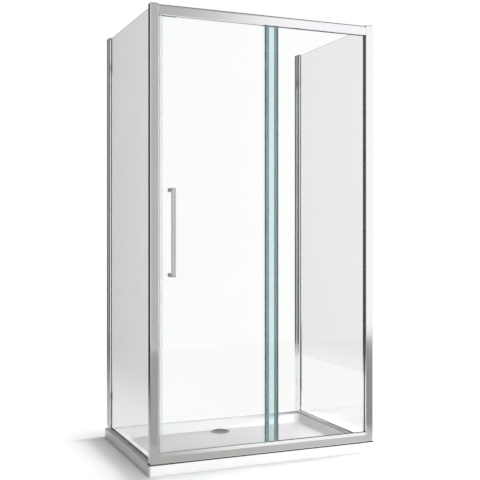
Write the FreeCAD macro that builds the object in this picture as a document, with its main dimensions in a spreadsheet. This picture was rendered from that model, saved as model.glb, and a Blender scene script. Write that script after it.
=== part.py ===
"""Three-sided shower enclosure with one sliding glass door, on a low tray.

Millimetres. X runs along the front to the right, Y from the front towards the wall, Z up.
The origin is the centre of the tray's underside.
"""
import FreeCAD, Part
import os
import re
import Sketcher
from FreeCAD import Placement, Rotation, Vector

# Driving dimensions.
SIZES = {
    # tray
    "tray_width": 1100,
    "tray_depth": 760,
    "tray_height": 45,
    "tray_corner": 8,
    "tray_edge": 3,
    "rim_side": 47,
    "rim_front": 48,
    "rim_back": 38,
    "basin_depth": 26,
    "basin_corner": 46,
    "basin_floor_corner": 30,
    "basin_mouth_round": 3,
    "basin_floor_round": 6,
    "slope_side": 48,
    "slope_front": 42,
    "slope_back": 112,
    "drain_offset": 196,
    # frame
    "side_margin": 7,
    "front_margin": 6,
    "frame_height": 1950,
    "profile_wall": 1.8,
    "post_width": 36,
    "post_depth": 34,
    "post_round": 3.5,
    "post_edge": 1.5,
    "post_cap_height": 3,
    "post_cap_chamfer": 1.6,
    "rail_step": 1.2,
    "top_lip": 7,
    "bottom_lip": 3,
    "bottom_lip_bevel": 2,
    "top_rail_height": 44,
    "top_slope_depth": 8,
    "slope_height": 12,
    "bottom_rail_height": 46,
    "bottom_slope_depth": 10.5,
    # glass and its pockets
    "glass_thickness": 6,
    "gasket_thickness": 1.5,
    "pocket_depth": 12,
    "top_pocket_depth": 18,
    "bottom_pocket_depth": 14,
    "side_glass_inset": 14,
    "fixed_glass_inset": 14,
    "door_glass_inset": 27,
    "side_glass_drop": 6,
    "gasket_lip": 1.5,
    "panel_split": -3,
    "panel_overlap": 63.5,
    # side sills and wall profiles
    "sill_width": 18,
    "sill_height": 12,
    "sill_floor": 3,
    "sill_chamfer": 3,
    "channel_width": 24,
    "channel_depth": 22,
    "channel_wall": 2,
    "profile_drop": 2,
    "profile_reach": 50,
    "profile_tail_gap": 10,
    "profile_cap_height": 2,
    "wall_hole_radius": 3,
    "wall_hole_low": 150,
    "profile_screw_low": 300,
    "profile_screw_radius": 1.9,
    "profile_screw_head": 3.6,
    "profile_screw_head_height": 1.8,
    "profile_screw_reach": 4,
    # corner joints
    "block_length": 22,
    "block_clearance": 0.2,
    "block_height": 26,
    "frame_screw_radius": 2,
    "frame_screw_head": 2.6,
    "frame_screw_head_height": 2.4,
    "frame_screw_low": 10,
    "frame_screw_pitch": 14,
    "access_radius": 2.8,
    "access_cap_flange": 3.3,
    "access_cap_height": 1.2,
    # sealing bead round the foot of the frame
    "bead_leg": 2,
    # door glass and seals
    "door_side_gap": 12,
    "door_bottom_gap": 34.2,
    "door_top_entry": 30,
    "seal_wall": 1.2,
    "seal_leg": 15,
    "seal_end_gap": 2,
    "magnet_thickness": 5,
    "magnet_gap": 0.3,
    "wiper_gap": 4,
    # handle
    "handle_inset": 47,
    "handle_clearance": 15,
    "handle_middle": 981,
    "handle_length": 378,
    "handle_width": 17.6,
    "handle_bar": 11,
    "handle_foot": 16,
    "handle_reach": 54,
    "handle_round": 2.5,
    "washer_thickness": 1,
    "handle_screw_radius": 3,
    "handle_screw_depth": 14,
    "handle_cap_radius": 9,
    "handle_cap_height": 5,
    "handle_cap_bore": 3,
    # hangers and wheels
    "hanger_length": 64,
    "hanger_plate": 3,
    "hanger_inset": 44,
    "hanger_play": 1,
    "hanger_top": 7,
    "hanger_corner": 6,
    "wheel_pitch": 40,
    "wheel_radius": 11,
    "wheel_width": 6,
    "wheel_hub": 6,
    "wheel_chamfer": 0.5,
    "groove_depth": 1,
    "groove_width": 3,
    "axle_radius": 3,
    "axle_head": 4.6,
    "axle_clip": 0.6,
    "axle_clip_gap": 0.1,
    "bearing_gap": 0.05,
    "running_gap": 0.3,
    "ledge_height": 10,
    "ledge_thickness": 3,
    "ledge_width": 8,
    "bead_width": 2,
    "bead_height": 1,
    "bolt_radius": 3,
    "bolt_head": 4.4,
    "bolt_head_height": 2.5,
    "bolt_nut_height": 3,
    "bolt_height": 5.3,
    "plate_margin": 1.4,
    "stop_length": 12,
    "stop_height": 20,
    "stop_nose": 3,
    "stop_gap": 0.5,
    # bottom guides
    "guide_groove": 12,
    "groove_floor": 16,
    "rear_lip_height": 30,
    "guide_length": 24,
    "guide_inset": 44,
    "guide_wall": 1.8,
    "guide_base": 5,
    "guide_grip": 10,
    "guide_pin_radius": 2,
    "guide_pin_rim": 1.5,
    "guide_pin_reach": 1,
    "guide_pin_gap": 0.2,
    "roller_radius": 5.6,
    "roller_height": 8,
    "roller_lift": 2,
    "roller_chamfer": 0.8,
    # waste
    "waste_bore": 23,
    "outlet_bore": 20,
    "outlet_depth": 7.5,
    "waste_tube_wall": 4.5,
    "waste_flange_radius": 44,
    "waste_flange_height": 2.2,
    "waste_flange_edge": 1,
    "waste_flange_slope": 3,
    "waste_gasket_height": 1,
    "waste_seat_depth": 3,
    "waste_recess_depth": 9,
    "waste_recess_radius": 46,
    "waste_hole_gap": 0.5,
    "waste_nut_radius": 40,
    "waste_nut_height": 6,
    "waste_foot_gap": 1,
    "cover_radius": 43.5,
    "cover_rim": 1.6,
    "cover_lift": 2,
    "cover_rise": 8,
    "cover_wall": 1.6,
    "cover_stem": 6,
    "trap_gap": 0.5,
    "trap_wall": 1.2,
    "trap_depth": 10,
    "trap_rim": 3.5,
    "trap_rim_height": 1,
    "trap_hole": 2.4,
    "trap_hole_circle": 13.5,
}

# Places worked out from the driving dimensions.
PLACES = {
    "outer_x": "tray_width / 2 - side_margin",
    "inner_x": "outer_x - post_width",
    "front_y": "front_margin - tray_depth / 2",
    "wall_y": "tray_depth / 2",
    "pocket_width": "glass_thickness + 2 * gasket_thickness",
    "side_pocket": "side_glass_inset - gasket_thickness",
    "fixed_pocket": "fixed_glass_inset - gasket_thickness",
    "pocket_back": "fixed_pocket + pocket_width",
    "metal_height": "frame_height - post_cap_height",
    "top_rail_z": "metal_height - top_rail_height",
    "fixed_y": "front_y + fixed_glass_inset",
    "door_y": "front_y + door_glass_inset",
    "door_back": "door_glass_inset + glass_thickness",
    "fixed_end": "inner_x + pocket_depth",
    "fixed_bottom": "tray_height + bottom_rail_height - bottom_pocket_depth",
    "fixed_top": "tray_height + top_rail_z + top_pocket_depth",
    "door_left": "door_side_gap - inner_x",
    "door_right": "panel_split + panel_overlap",
    "door_bottom": "tray_height + door_bottom_gap",
    "door_top": "tray_height + top_rail_z + door_top_entry",
    "door_middle": "door_glass_inset + glass_thickness / 2",
    "seal_bottom": "tray_height + bottom_rail_height + seal_end_gap",
    "seal_height": "top_rail_z - bottom_rail_height - 2 * seal_end_gap",
    "side_post_y": "front_y + post_depth - pocket_depth",
    "profile_y": "wall_y - profile_reach",
    "profile_end": "wall_y - channel_wall - profile_tail_gap",
    "side_end": "profile_y + pocket_depth",
    "side_top": "tray_height + frame_height - side_glass_drop",
    "side_x": "side_glass_inset - outer_x",
    "side_axis": "side_glass_inset + glass_thickness / 2",
    "channel_height": "frame_height - profile_drop - profile_cap_height",
    "wall_hole_pitch": "channel_height / 2 - wall_hole_low",
    "profile_screw_pitch": "channel_height / 2 - profile_screw_low",
    "handle_centre": "door_left + handle_inset",
    "door_travel": "panel_split - seal_wall - handle_clearance - handle_centre - handle_width / 2",
    "track_y": "door_back + hanger_plate + hanger_play + ledge_width / 2",
    "ledge_front": "track_y - ledge_width / 2",
    "chamber_front": "pocket_back + profile_wall",
    "top_rail_depth": "chamber_back + profile_wall",
    "groove_front": "door_middle - guide_groove / 2",
    "groove_back": "door_middle + guide_groove / 2",
    "bottom_rail_depth": "groove_back + profile_wall",
    "chamber_back": "track_y + ledge_width / 2",
    "track_z": "ledge_height + ledge_thickness",
    "axle_z": "tray_height + top_rail_z + track_z + running_gap + wheel_radius",
    "bolt_z": "tray_height + top_rail_z + bolt_height",
    "left_hanger_x": "door_left + hanger_inset",
    "right_hanger_x": "door_right - hanger_inset",
    "left_guide_x": "door_left + guide_inset",
    "right_guide_x": "door_right - guide_inset",
    "roller_z": "tray_height + groove_floor + roller_lift",
    "handle_y": "door_y - washer_thickness",
    "handle_low": "tray_height + handle_middle - handle_length / 2",
    "screw_y": "front_y + rail_step + (fixed_pocket - rail_step) / 2",
    "floor_z": "tray_height - basin_depth",
    "seat_z": "floor_z - waste_seat_depth",
    "flange_z": "seat_z + waste_gasket_height",
    "flange_top": "flange_z + waste_flange_height",
    "tube_radius": "waste_bore + waste_tube_wall",
    "trap_radius": "waste_bore - trap_gap",
}

doc = FreeCAD.newDocument("sliding_door_enclosure")
sheet = doc.addObject("Spreadsheet::Sheet", "Sizes")
for line, (name, number) in enumerate(SIZES.items(), 1):
    sheet.set(f"A{line}", name)
    sheet.set(f"B{line}", str(number))
    sheet.setAlias(f"B{line}", name)
doc.recompute()

NODES = []
ALONG_X = Rotation(Vector(0, 1, 0), 90)
ALONG_Y = Rotation(Vector(1, 0, 0), -90)
ALONG_Z = Rotation()
TURNS = {"X": ALONG_X, "Y": ALONG_Y, "Z": ALONG_Z}


# ---------------------------------------------------------------- expressions
def bound(text):
    """The expression with every place written out and every size tied to its cell."""
    def swap(match):
        word = match.group(0)
        if word in PLACES:
            return "(" + bound(PLACES[word]) + ")"
        return "Sizes." + word if word in SIZES else word
    return re.sub(r"[a-z][a-z_]*", swap, str(text))


def value(text):
    """The number that an expression has now."""
    return float(sheet.evalExpression(bound(text)))


def bind(thing, **properties):
    """Ties properties of an object to expressions."""
    for name, text in properties.items():
        setattr(thing, name, value(text))
        thing.setExpression(name, bound(text))


def place(thing, x=0, y=0, z=0, turn=ALONG_Z):
    """Puts an object at a point that follows the sheet."""
    thing.Placement = Placement(Vector(value(x), value(y), value(z)), turn)
    for axis, text in zip("xyz", (x, y, z)):
        thing.setExpression("Placement.Base." + axis, bound(text))
    return thing


def node(thing, label):
    """Names a finished sub-part."""
    thing.Label = label
    NODES.append(thing)
    return thing


# ---------------------------------------------------------------- sketches and bodies
def origin_plane(body, role):
    return next(item for item in body.Origin.OriginFeatures if item.Role == role)


def new_sketch(body, plane, lift=0):
    """An empty sketch on an origin plane of the body, lifted along its normal."""
    sketch = body.newObject("Sketcher::SketchObject", "outline")
    sketch.AttachmentSupport = (origin_plane(body, plane + "_Plane"), "")
    sketch.MapMode = "FlatFace"
    sketch.AttachmentOffset = Placement(Vector(0, 0, value(lift)), Rotation())
    sketch.setExpression("AttachmentOffset.Base.z", bound(lift))
    return sketch


def pin_point(sketch, geometry, point, corner):
    """Holds one point of the sketch at its two expressions."""
    for kind, text, axis in (("DistanceX", corner[0], -2), ("DistanceY", corner[1], -1)):
        if str(text) == "0":
            sketch.addConstraint(Sketcher.Constraint("PointOnObject", geometry, point, axis))
            continue
        index = sketch.addConstraint(Sketcher.Constraint(kind, -1, 1, geometry, point, value(text)))
        sketch.setExpression(f"Constraints[{index}]", bound(text))


def add_polygon(sketch, corners):
    """A closed loop of straight lines through corners given as pairs of expressions."""
    points = [Vector(value(x), value(y), 0) for x, y in corners]
    follow = points[1:] + points[:1]
    lines = [sketch.addGeometry(Part.LineSegment(a, b), False) for a, b in zip(points, follow)]
    for line, after in zip(lines, lines[1:] + lines[:1]):
        sketch.addConstraint(Sketcher.Constraint("Coincident", line, 2, after, 1))
    for line, corner in zip(lines, corners):
        pin_point(sketch, line, 1, corner)


def add_circle(sketch, x, y, radius):
    circle = sketch.addGeometry(Part.Circle(Vector(value(x), value(y), 0), Vector(0, 0, 1), value(radius)),
                                False)
    pin_point(sketch, circle, 3, (x, y))
    index = sketch.addConstraint(Sketcher.Constraint("Radius", circle, value(radius)))
    sketch.setExpression(f"Constraints[{index}]", bound(radius))


def add_round_rectangle(sketch, low, high, radius):
    """A rectangle with rounded corners between two points given as pairs of expressions."""
    r = value(radius)
    quarter = 1.5707963267948966
    centres = [(f"{high[0]} - {radius}", f"{high[1]} - {radius}"),
               (f"{low[0]} + {radius}", f"{high[1]} - {radius}"),
               (f"{low[0]} + {radius}", f"{low[1]} + {radius}"),
               (f"{high[0]} - {radius}", f"{low[1]} + {radius}")]
    arcs = []
    for turn, (x, y) in enumerate(centres):
        circle = Part.Circle(Vector(value(x), value(y), 0), Vector(0, 0, 1), r)
        arc = Part.ArcOfCircle(circle, turn * quarter, (turn + 1) * quarter)
        arcs.append(sketch.addGeometry(arc, False))
        pin_point(sketch, arcs[-1], 3, (x, y))
        index = sketch.addConstraint(Sketcher.Constraint("Radius", arcs[-1], r))
        sketch.setExpression(f"Constraints[{index}]", bound(radius))
    for arc, after in zip(arcs, arcs[1:] + arcs[:1]):
        start = sketch.getPoint(arc, 2)
        end = sketch.getPoint(after, 1)
        line = sketch.addGeometry(Part.LineSegment(start, end), False)
        sketch.addConstraint(Sketcher.Constraint("Tangent", arc, 2, line, 1))
        sketch.addConstraint(Sketcher.Constraint("Tangent", line, 2, after, 1))


def new_body(name):
    return doc.addObject("PartDesign::Body", name)


def extruded(name, plane, loops, length, both_ways=False):
    """A body with one pad of an outline; further loops are the hollows in it."""
    body = new_body(name)
    sketch = new_sketch(body, plane)
    for loop in loops:
        if isinstance(loop, list):
            add_polygon(sketch, loop)
        else:
            add_circle(sketch, *loop)
    pad = body.newObject("PartDesign::Pad", "length")
    pad.Profile = sketch
    bind(pad, Length=length)
    pad.Midplane = both_ways
    return body


def turned(name, corners):
    """A body of revolution about Z: the corners are pairs of radius and height."""
    body = new_body(name)
    sketch = new_sketch(body, "XZ")
    add_polygon(sketch, corners)
    spin = body.newObject("PartDesign::Revolution", "spin")
    spin.Profile = sketch
    spin.ReferenceAxis = (sketch, ["V_Axis"])
    spin.Angle = 360
    return body


def edges_along(shape, axis, spots):
    """The names of the straight edges along an axis that pass through the given spots of the other two."""
    others = [index for index in range(3) if index != axis]
    found = []
    for number, edge in enumerate(shape.Edges, 1):
        ends = [vertex.Point for vertex in edge.Vertexes]
        if len(ends) != 2 or abs(ends[0][axis] - ends[1][axis]) < 1:
            continue
        if any(all(abs(end[i] - spot[k]) < 0.01 for end in ends for k, i in enumerate(others))
               for spot in spots):
            found.append(f"Edge{number}")
    return found


def edges_on_top(shape):
    """The names of the edges round the highest face."""
    top = max(shape.Faces, key=lambda face: face.CenterOfMass.z)
    return [f"Edge{number}" for number, edge in enumerate(shape.Edges, 1)
            if any(edge.isSame(other) for other in top.Edges)]


def edges_level(shape, z, margin):
    """The names of the edges that lie at one height, further in from the outer faces than the margin."""
    names = []
    for number, edge in enumerate(shape.Edges, 1):
        span = edge.BoundBox
        level = abs(span.ZMin - z) < 0.01 and abs(span.ZMax - z) < 0.01
        inside = span.XMin > shape.BoundBox.XMin + margin and span.XMax < shape.BoundBox.XMax - margin
        if level and inside:
            names.append(f"Edge{number}")
    return names


def dressed(body, kind, names, **size):
    """Adds a Fillet or Chamfer on the named edges of the body's last feature."""
    base = body.Tip
    dress = body.newObject("PartDesign::" + kind, kind.lower())
    dress.Base = (base, names)
    bind(dress, **size)


def rounded(body, axis, spots, radius):
    """Rounds the body's straight edges along an axis at spots given as expressions."""
    doc.recompute()
    names = edges_along(body.Tip.Shape, axis, [(value(a), value(b)) for a, b in spots])
    dressed(body, "Fillet", names, Radius=radius)


# ---------------------------------------------------------------- solids and booleans
def box(x, y, z, length, width, height):
    """A block from its lowest corner."""
    block = doc.addObject("Part::Box", "block")
    bind(block, Length=length, Width=width, Height=height)
    return place(block, x, y, z)


def rod(axis, x, y, z, radius, length):
    """A cylinder that starts at a point and runs along an axis."""
    cylinder = doc.addObject("Part::Cylinder", "rod")
    bind(cylinder, Radius=radius, Height=length)
    return place(cylinder, x, y, z, TURNS[axis])


def fused(parts, name="fused"):
    union = doc.addObject("Part::MultiFuse", name)
    union.Shapes = parts
    return union


def grouped(parts, name="group"):
    """Separate solids kept together as one sub-part."""
    group = doc.addObject("Part::Compound", name)
    group.Links = parts
    return group


def cut(base, tools, name="cut"):
    """The base without its tools."""
    piece = doc.addObject("Part::Cut", name)
    piece.Base = base
    piece.Tool = tools[0] if len(tools) == 1 else fused(tools, "tools")
    return piece


def mirrored(source, name="mirrored"):
    """The same piece on the other side of the middle."""
    twin = doc.addObject("Part::Mirroring", name)
    twin.Source = source
    twin.Normal = Vector(1, 0, 0)
    twin.Base = Vector(0, 0, 0)
    return twin


# ---------------------------------------------------------------- tray and waste
def make_tray():
    """A low tray: flat rim, basin with sloped sides, seat and recess for the waste."""
    body = new_body("slab")
    outline = new_sketch(body, "XY")
    add_round_rectangle(outline, ("-tray_width / 2", "-tray_depth / 2"), ("tray_width / 2", "tray_depth / 2"),
                        "tray_corner")
    slab = body.newObject("PartDesign::Pad", "height")
    slab.Profile = outline
    bind(slab, Length="tray_height")
    doc.recompute()
    dressed(body, "Fillet", edges_on_top(slab.Shape), Radius="tray_edge")
    mouth = new_sketch(body, "XY", "tray_height")
    add_round_rectangle(mouth, ("rim_side - tray_width / 2", "rim_front - tray_depth / 2"),
                        ("tray_width / 2 - rim_side", "tray_depth / 2 - rim_back"), "basin_corner")
    floor = new_sketch(body, "XY", "floor_z")
    add_round_rectangle(floor, ("rim_side + slope_side - tray_width / 2",
                                "rim_front + slope_front - tray_depth / 2"),
                        ("tray_width / 2 - rim_side - slope_side", "tray_depth / 2 - rim_back - slope_back"),
                        "basin_floor_corner")
    basin = body.newObject("PartDesign::SubtractiveLoft", "basin")
    basin.Profile = mouth
    basin.Sections = [floor]
    basin.Ruled = True
    doc.recompute()
    margin = value("rim_side / 2")
    dressed(body, "Fillet", edges_level(body.Tip.Shape, value("tray_height"), margin),
            Radius="basin_mouth_round")
    doc.recompute()
    dressed(body, "Fillet", edges_level(body.Tip.Shape, value("floor_z"), margin), Radius="basin_floor_round")
    recess = [("seat_z", "waste_seat_depth + basin_depth", "waste_recess_radius"),
              ("0", "tray_height", "tube_radius + waste_hole_gap"),
              ("0", "waste_recess_depth", "waste_recess_radius")]
    tools = [rod("Z", 0, "drain_offset", low, radius, depth) for low, depth, radius in recess]
    node(cut(body, tools), "tray")


def make_waste():
    """Waste fitting: gasket and flange on the tray's seat, tube through it, nut below."""
    gasket = turned("waste_gasket", [("tube_radius + waste_hole_gap", 0),
                                     ("waste_flange_radius - waste_flange_edge", 0),
                                     ("waste_flange_radius - waste_flange_edge", "waste_gasket_height"),
                                     ("tube_radius + waste_hole_gap", "waste_gasket_height")])
    node(place(gasket, 0, "drain_offset", "seat_z"), "waste_gasket")
    body = turned("waste_body", [("outlet_bore", "waste_foot_gap"), ("tube_radius", "waste_foot_gap"),
                                 ("tube_radius", "flange_z"), ("waste_flange_radius", "flange_z"),
                                 ("waste_flange_radius", "flange_z + waste_flange_edge"),
                                 ("waste_flange_radius - waste_flange_slope", "flange_top"),
                                 ("waste_bore", "flange_top"),
                                 ("waste_bore", "waste_foot_gap + outlet_depth"),
                                 ("outlet_bore", "waste_foot_gap + outlet_depth")])
    node(place(body, 0, "drain_offset", 0), "waste_body")
    hexagon = doc.addObject("Part::Prism", "nut")
    hexagon.Polygon = 6
    bind(hexagon, Circumradius="waste_nut_radius", Height="waste_nut_height")
    place(hexagon, 0, "drain_offset", "waste_recess_depth - waste_nut_height")
    bore = rod("Z", 0, "drain_offset", 0, "tube_radius", "tray_height")
    node(cut(hexagon, [bore]), "waste_nut")


def make_cover():
    """Lift-out hair trap with a ring of holes, and the dome that stands on it."""
    cup = turned("cup", [(0, "flange_top - trap_depth"), ("trap_radius", "flange_top - trap_depth"),
                         ("trap_radius", "flange_top"), ("trap_radius + trap_rim", "flange_top"),
                         ("trap_radius + trap_rim", "flange_top + trap_rim_height"),
                         ("trap_radius - trap_wall", "flange_top + trap_rim_height"),
                         ("trap_radius - trap_wall", "flange_top - trap_depth + trap_wall"),
                         (0, "flange_top - trap_depth + trap_wall")])
    sketch = new_sketch(cup, "XY", "flange_top - trap_depth")
    add_circle(sketch, "trap_hole_circle", "0", "trap_hole")
    hole = cup.newObject("PartDesign::Pocket", "hole")
    hole.Profile = sketch
    hole.Reversed = True
    bind(hole, Length="trap_wall")
    ring = cup.newObject("PartDesign::PolarPattern", "holes")
    ring.Originals = [hole]
    ring.Axis = (origin_plane(cup, "Z_Axis"), [""])
    ring.Angle = 360
    ring.Occurrences = 8
    cup.Tip = ring
    node(place(cup, 0, "drain_offset", 0), "hair_trap")
    rim = "flange_top + cover_lift"
    apex = f"{rim} + cover_rise"
    dome = turned("dome", [("cover_radius", rim), ("cover_radius", f"{rim} + cover_rim"),
                           ("0.92 * cover_radius", f"{rim} + cover_rim + 0.3 * (cover_rise - cover_rim)"),
                           ("0.76 * cover_radius", f"{rim} + cover_rim + 0.62 * (cover_rise - cover_rim)"),
                           ("0.52 * cover_radius", f"{rim} + cover_rim + 0.87 * (cover_rise - cover_rim)"),
                           ("0.25 * cover_radius", f"{apex} - 0.03 * cover_rise"), (0, apex),
                           (0, "flange_top - trap_depth + trap_wall"),
                           ("cover_stem", "flange_top - trap_depth + trap_wall"),
                           ("cover_stem", f"{apex} - cover_wall - 1"),
                           ("0.5 * cover_radius", f"{rim} + 0.86 * (cover_rise - cover_wall)"),
                           ("0.74 * cover_radius", f"{rim} + 0.6 * (cover_rise - cover_wall)"),
                           ("cover_radius - cover_wall", rim)])
    node(place(dome, 0, "drain_offset", 0), "waste_cover")


# ---------------------------------------------------------------- posts and rails
def post_outline(with_pocket):
    """Section of a corner post from its outer front corner: side glass pocket behind, front pocket if wanted."""
    wall = "profile_wall"
    pocket_end = "(side_pocket + pocket_width)"
    pocket_floor = "(post_depth - pocket_depth)"
    outline = [(0, 0), ("post_width", 0), ("post_width", "post_depth"), (pocket_end, "post_depth"),
               (pocket_end, pocket_floor), ("side_pocket", pocket_floor), ("side_pocket", "post_depth"),
               (0, "post_depth")]
    chamber = [(wall, wall), (f"post_width - {wall}", wall),
               (f"post_width - {wall}", f"{pocket_floor} - {wall}"),
               (wall, f"{pocket_floor} - {wall}")]
    inner_low = pocket_floor
    if with_pocket:
        inner = "(post_width - pocket_depth)"
        outline[2:2] = [("post_width", "fixed_pocket"), (inner, "fixed_pocket"), (inner, "pocket_back"),
                        ("post_width", "pocket_back")]
        chamber[2:3] = [(f"post_width - {wall}", f"fixed_pocket - {wall}"),
                        (f"{inner} - {wall}", f"fixed_pocket - {wall}"),
                        (f"{inner} - {wall}", f"{pocket_floor} - {wall}")]
        inner_low = f"(pocket_back + {wall})"
    inner_lobe = [(f"{pocket_end} + {wall}", inner_low), (f"post_width - {wall}", inner_low),
                  (f"post_width - {wall}", f"post_depth - {wall}"),
                  (f"{pocket_end} + {wall}", f"post_depth - {wall}")]
    outer_lobe = [(wall, pocket_floor), (f"side_pocket - {wall}", pocket_floor),
                  (f"side_pocket - {wall}", f"post_depth - {wall}"), (wall, f"post_depth - {wall}")]
    return [outline, chamber, inner_lobe, outer_lobe]


def access_holes(side_x, step):
    """Tools for the frame screws of one post: small holes in its inner wall, wide ones in its outer wall."""
    tools = []
    for low in ("tray_height", "tray_height + top_rail_z"):
        for turn in range(2):
            z = f"{low} + frame_screw_low + {turn} * frame_screw_pitch"
            tools.append(rod("X", f"{side_x} + post_width - 2 * profile_wall", "screw_y", z,
                             f"frame_screw_radius + {step}", "3 * profile_wall"))
            tools.append(rod("X", f"{side_x} - profile_wall", "screw_y", z, "access_radius",
                             "3 * profile_wall"))
    return tools


def make_post(label, with_pocket, right):
    """A corner post over the full height."""
    body = extruded("post_profile", "XY", post_outline(with_pocket), "metal_height")
    rounded(body, 2, [(0, 0)], "post_round")
    rounded(body, 2, [("post_width", 0), ("post_width", "post_depth"), (0, "post_depth")], "post_edge")
    place(body, "-outer_x", "front_y", "tray_height")
    post = cut(body, access_holes("-outer_x", "0.2"))
    node(mirrored(post) if right else post, label)


def make_post_caps():
    """Chamfered caps on the posts."""
    cap = extruded("cap", "XY", [[(0, 0), ("post_width", 0), ("post_width", "post_depth"),
                                  (0, "post_depth")]],
                   "post_cap_height")
    rounded(cap, 2, [(0, 0)], "post_round")
    doc.recompute()
    dressed(cap, "Chamfer", edges_on_top(cap.Tip.Shape), Size="post_cap_chamfer")
    place(cap, "-outer_x", "front_y", "tray_height + metal_height")
    node(cap, "left_post_cap")
    node(mirrored(cap), "right_post_cap")


def make_top_rail():
    """Top rail: sloped front, glass pocket, and a rear chamber whose ledge carries the door's wheels."""
    wall = "profile_wall"
    outline = [(0, 0), ("rail_step", "top_lip"), ("rail_step", "top_rail_height - slope_height"),
               ("top_slope_depth", "top_rail_height"),
               ("top_rail_depth", "top_rail_height"), ("top_rail_depth", "ledge_height"),
               ("ledge_front", "ledge_height"), ("ledge_front", "track_z"),
               ("track_y - bead_width / 2", "track_z"),
               ("track_y - bead_width / 2", "track_z + bead_height"),
               ("track_y + bead_width / 2", "track_z + bead_height"),
               ("track_y + bead_width / 2", "track_z"), ("chamber_back", "track_z"),
               ("chamber_back", f"top_rail_height - {wall}"), ("chamber_front", f"top_rail_height - {wall}"),
               ("chamber_front", 0), ("pocket_back", 0), ("pocket_back", "top_pocket_depth"),
               ("fixed_pocket", "top_pocket_depth"), ("fixed_pocket", 0)]
    hollow = [(f"rail_step + {wall}", wall), (f"fixed_pocket - {wall}", wall),
              (f"fixed_pocket - {wall}", f"top_pocket_depth + {wall}"),
              (f"chamber_front - {wall}", f"top_pocket_depth + {wall}"),
              (f"chamber_front - {wall}", f"top_rail_height - {wall}"),
              (f"top_slope_depth + 0.6 * {wall}", f"top_rail_height - {wall}"),
              (f"rail_step + {wall}", f"top_rail_height - slope_height - 0.4 * {wall}")]
    rail = extruded("top_rail", "YZ", [outline, hollow], "2 * inner_x")
    node(place(rail, "-inner_x", "front_y", "tray_height + top_rail_z"), "top_rail")


def make_bottom_rail():
    """Bottom rail: sloped front, glass pocket, and a rear groove for the door's guides."""
    wall = "profile_wall"
    outline = [(0, 0), (0, "bottom_lip"), ("rail_step", "bottom_lip + bottom_lip_bevel"),
               ("rail_step", "bottom_rail_height - slope_height"),
               ("bottom_slope_depth", "bottom_rail_height"),
               ("fixed_pocket", "bottom_rail_height"), ("fixed_pocket",
                                                        "bottom_rail_height - bottom_pocket_depth"),
               ("pocket_back", "bottom_rail_height - bottom_pocket_depth"),
               ("pocket_back", "bottom_rail_height"),
               ("groove_front", "bottom_rail_height"), ("groove_front", "groove_floor"),
               ("groove_back", "groove_floor"), ("groove_back", "rear_lip_height"),
               ("bottom_rail_depth", "rear_lip_height"), ("bottom_rail_depth", 0)]
    under_pocket = f"bottom_rail_height - bottom_pocket_depth - {wall}"
    front_hollow = [(f"rail_step + {wall}", wall), (f"groove_front - {wall}", wall),
                    (f"groove_front - {wall}", under_pocket),
                    (f"fixed_pocket - {wall}", under_pocket),
                    (f"fixed_pocket - {wall}", f"bottom_rail_height - 1.6 * {wall}"),
                    (f"rail_step + {wall}", f"bottom_rail_height - slope_height - 0.4 * {wall}")]
    rear_hollow = [("groove_front", wall), (f"bottom_rail_depth - {wall}", wall),
                   (f"bottom_rail_depth - {wall}", f"groove_floor - {wall}"),
                   ("groove_front", f"groove_floor - {wall}")]
    rail = extruded("bottom_rail", "YZ", [outline, front_hollow, rear_hollow], "2 * inner_x")
    node(place(rail, "-inner_x", "front_y", "tray_height"), "bottom_rail")


def make_infills():
    """Strips that close the unused glass pocket above and below the door opening."""
    wall = "seal_wall"
    length = "inner_x + panel_split"
    for label, depth, low, up in (("bottom_infill", "bottom_pocket_depth", "fixed_bottom", True),
                                  ("top_infill", "top_pocket_depth", "tray_height + top_rail_z", False)):
        web = f"{depth} - {wall}" if up else wall
        legs = [(0, 0), (0, depth), ("pocket_width", depth), ("pocket_width", 0)]
        if up:
            inside = [(f"pocket_width - {wall}", 0), (f"pocket_width - {wall}", web), (wall, web), (wall, 0)]
            outline = legs + inside
        else:
            inside = [(wall, depth), (wall, web), (f"pocket_width - {wall}", web),
                      (f"pocket_width - {wall}", depth)]
            outline = [(0, 0), (0, depth)] + inside + [("pocket_width", depth), ("pocket_width", 0)]
        strip = extruded(label, "YZ", [outline], length)
        node(place(strip, "-inner_x", "front_y + fixed_pocket", low), label)


def make_corner_joints():
    """Blocks in the rails' front hollows, the screws holding them to the posts, and the caps on the screws."""
    blocks, screws, caps = [], [], []
    for low in ("tray_height", "tray_height + top_rail_z"):
        block = box("-inner_x", "front_y + rail_step + profile_wall + block_clearance",
                    f"{low} + profile_wall + block_clearance", "block_length",
                    "fixed_pocket - rail_step - 2 * profile_wall - 2 * block_clearance", "block_height")
        bores = []
        for turn in range(2):
            z = f"{low} + frame_screw_low + {turn} * frame_screw_pitch"
            shank = rod("X", "-inner_x - profile_wall", "screw_y", z, "frame_screw_radius",
                        "block_length + profile_wall - 3")
            head = rod("X", "-inner_x - profile_wall - frame_screw_head_height", "screw_y", z,
                       "frame_screw_head",
                       "frame_screw_head_height")
            screws.append(fused([shank, head]))
            bores.append(rod("X", "-inner_x - 1", "screw_y", z, "frame_screw_radius", "block_length - 2"))
            plug = rod("X", "-outer_x", "screw_y", z, "access_radius - 0.1", "profile_wall + 1")
            flange = rod("X", "-outer_x - access_cap_height", "screw_y", z, "access_cap_flange",
                         "access_cap_height")
            caps.append(fused([plug, flange]))
        blocks.append(cut(block, bores))
    for label, parts in (("corner_blocks", blocks), ("frame_screws", screws), ("screw_caps", caps)):
        node(grouped(parts + [mirrored(part) for part in parts]), label)


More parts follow.
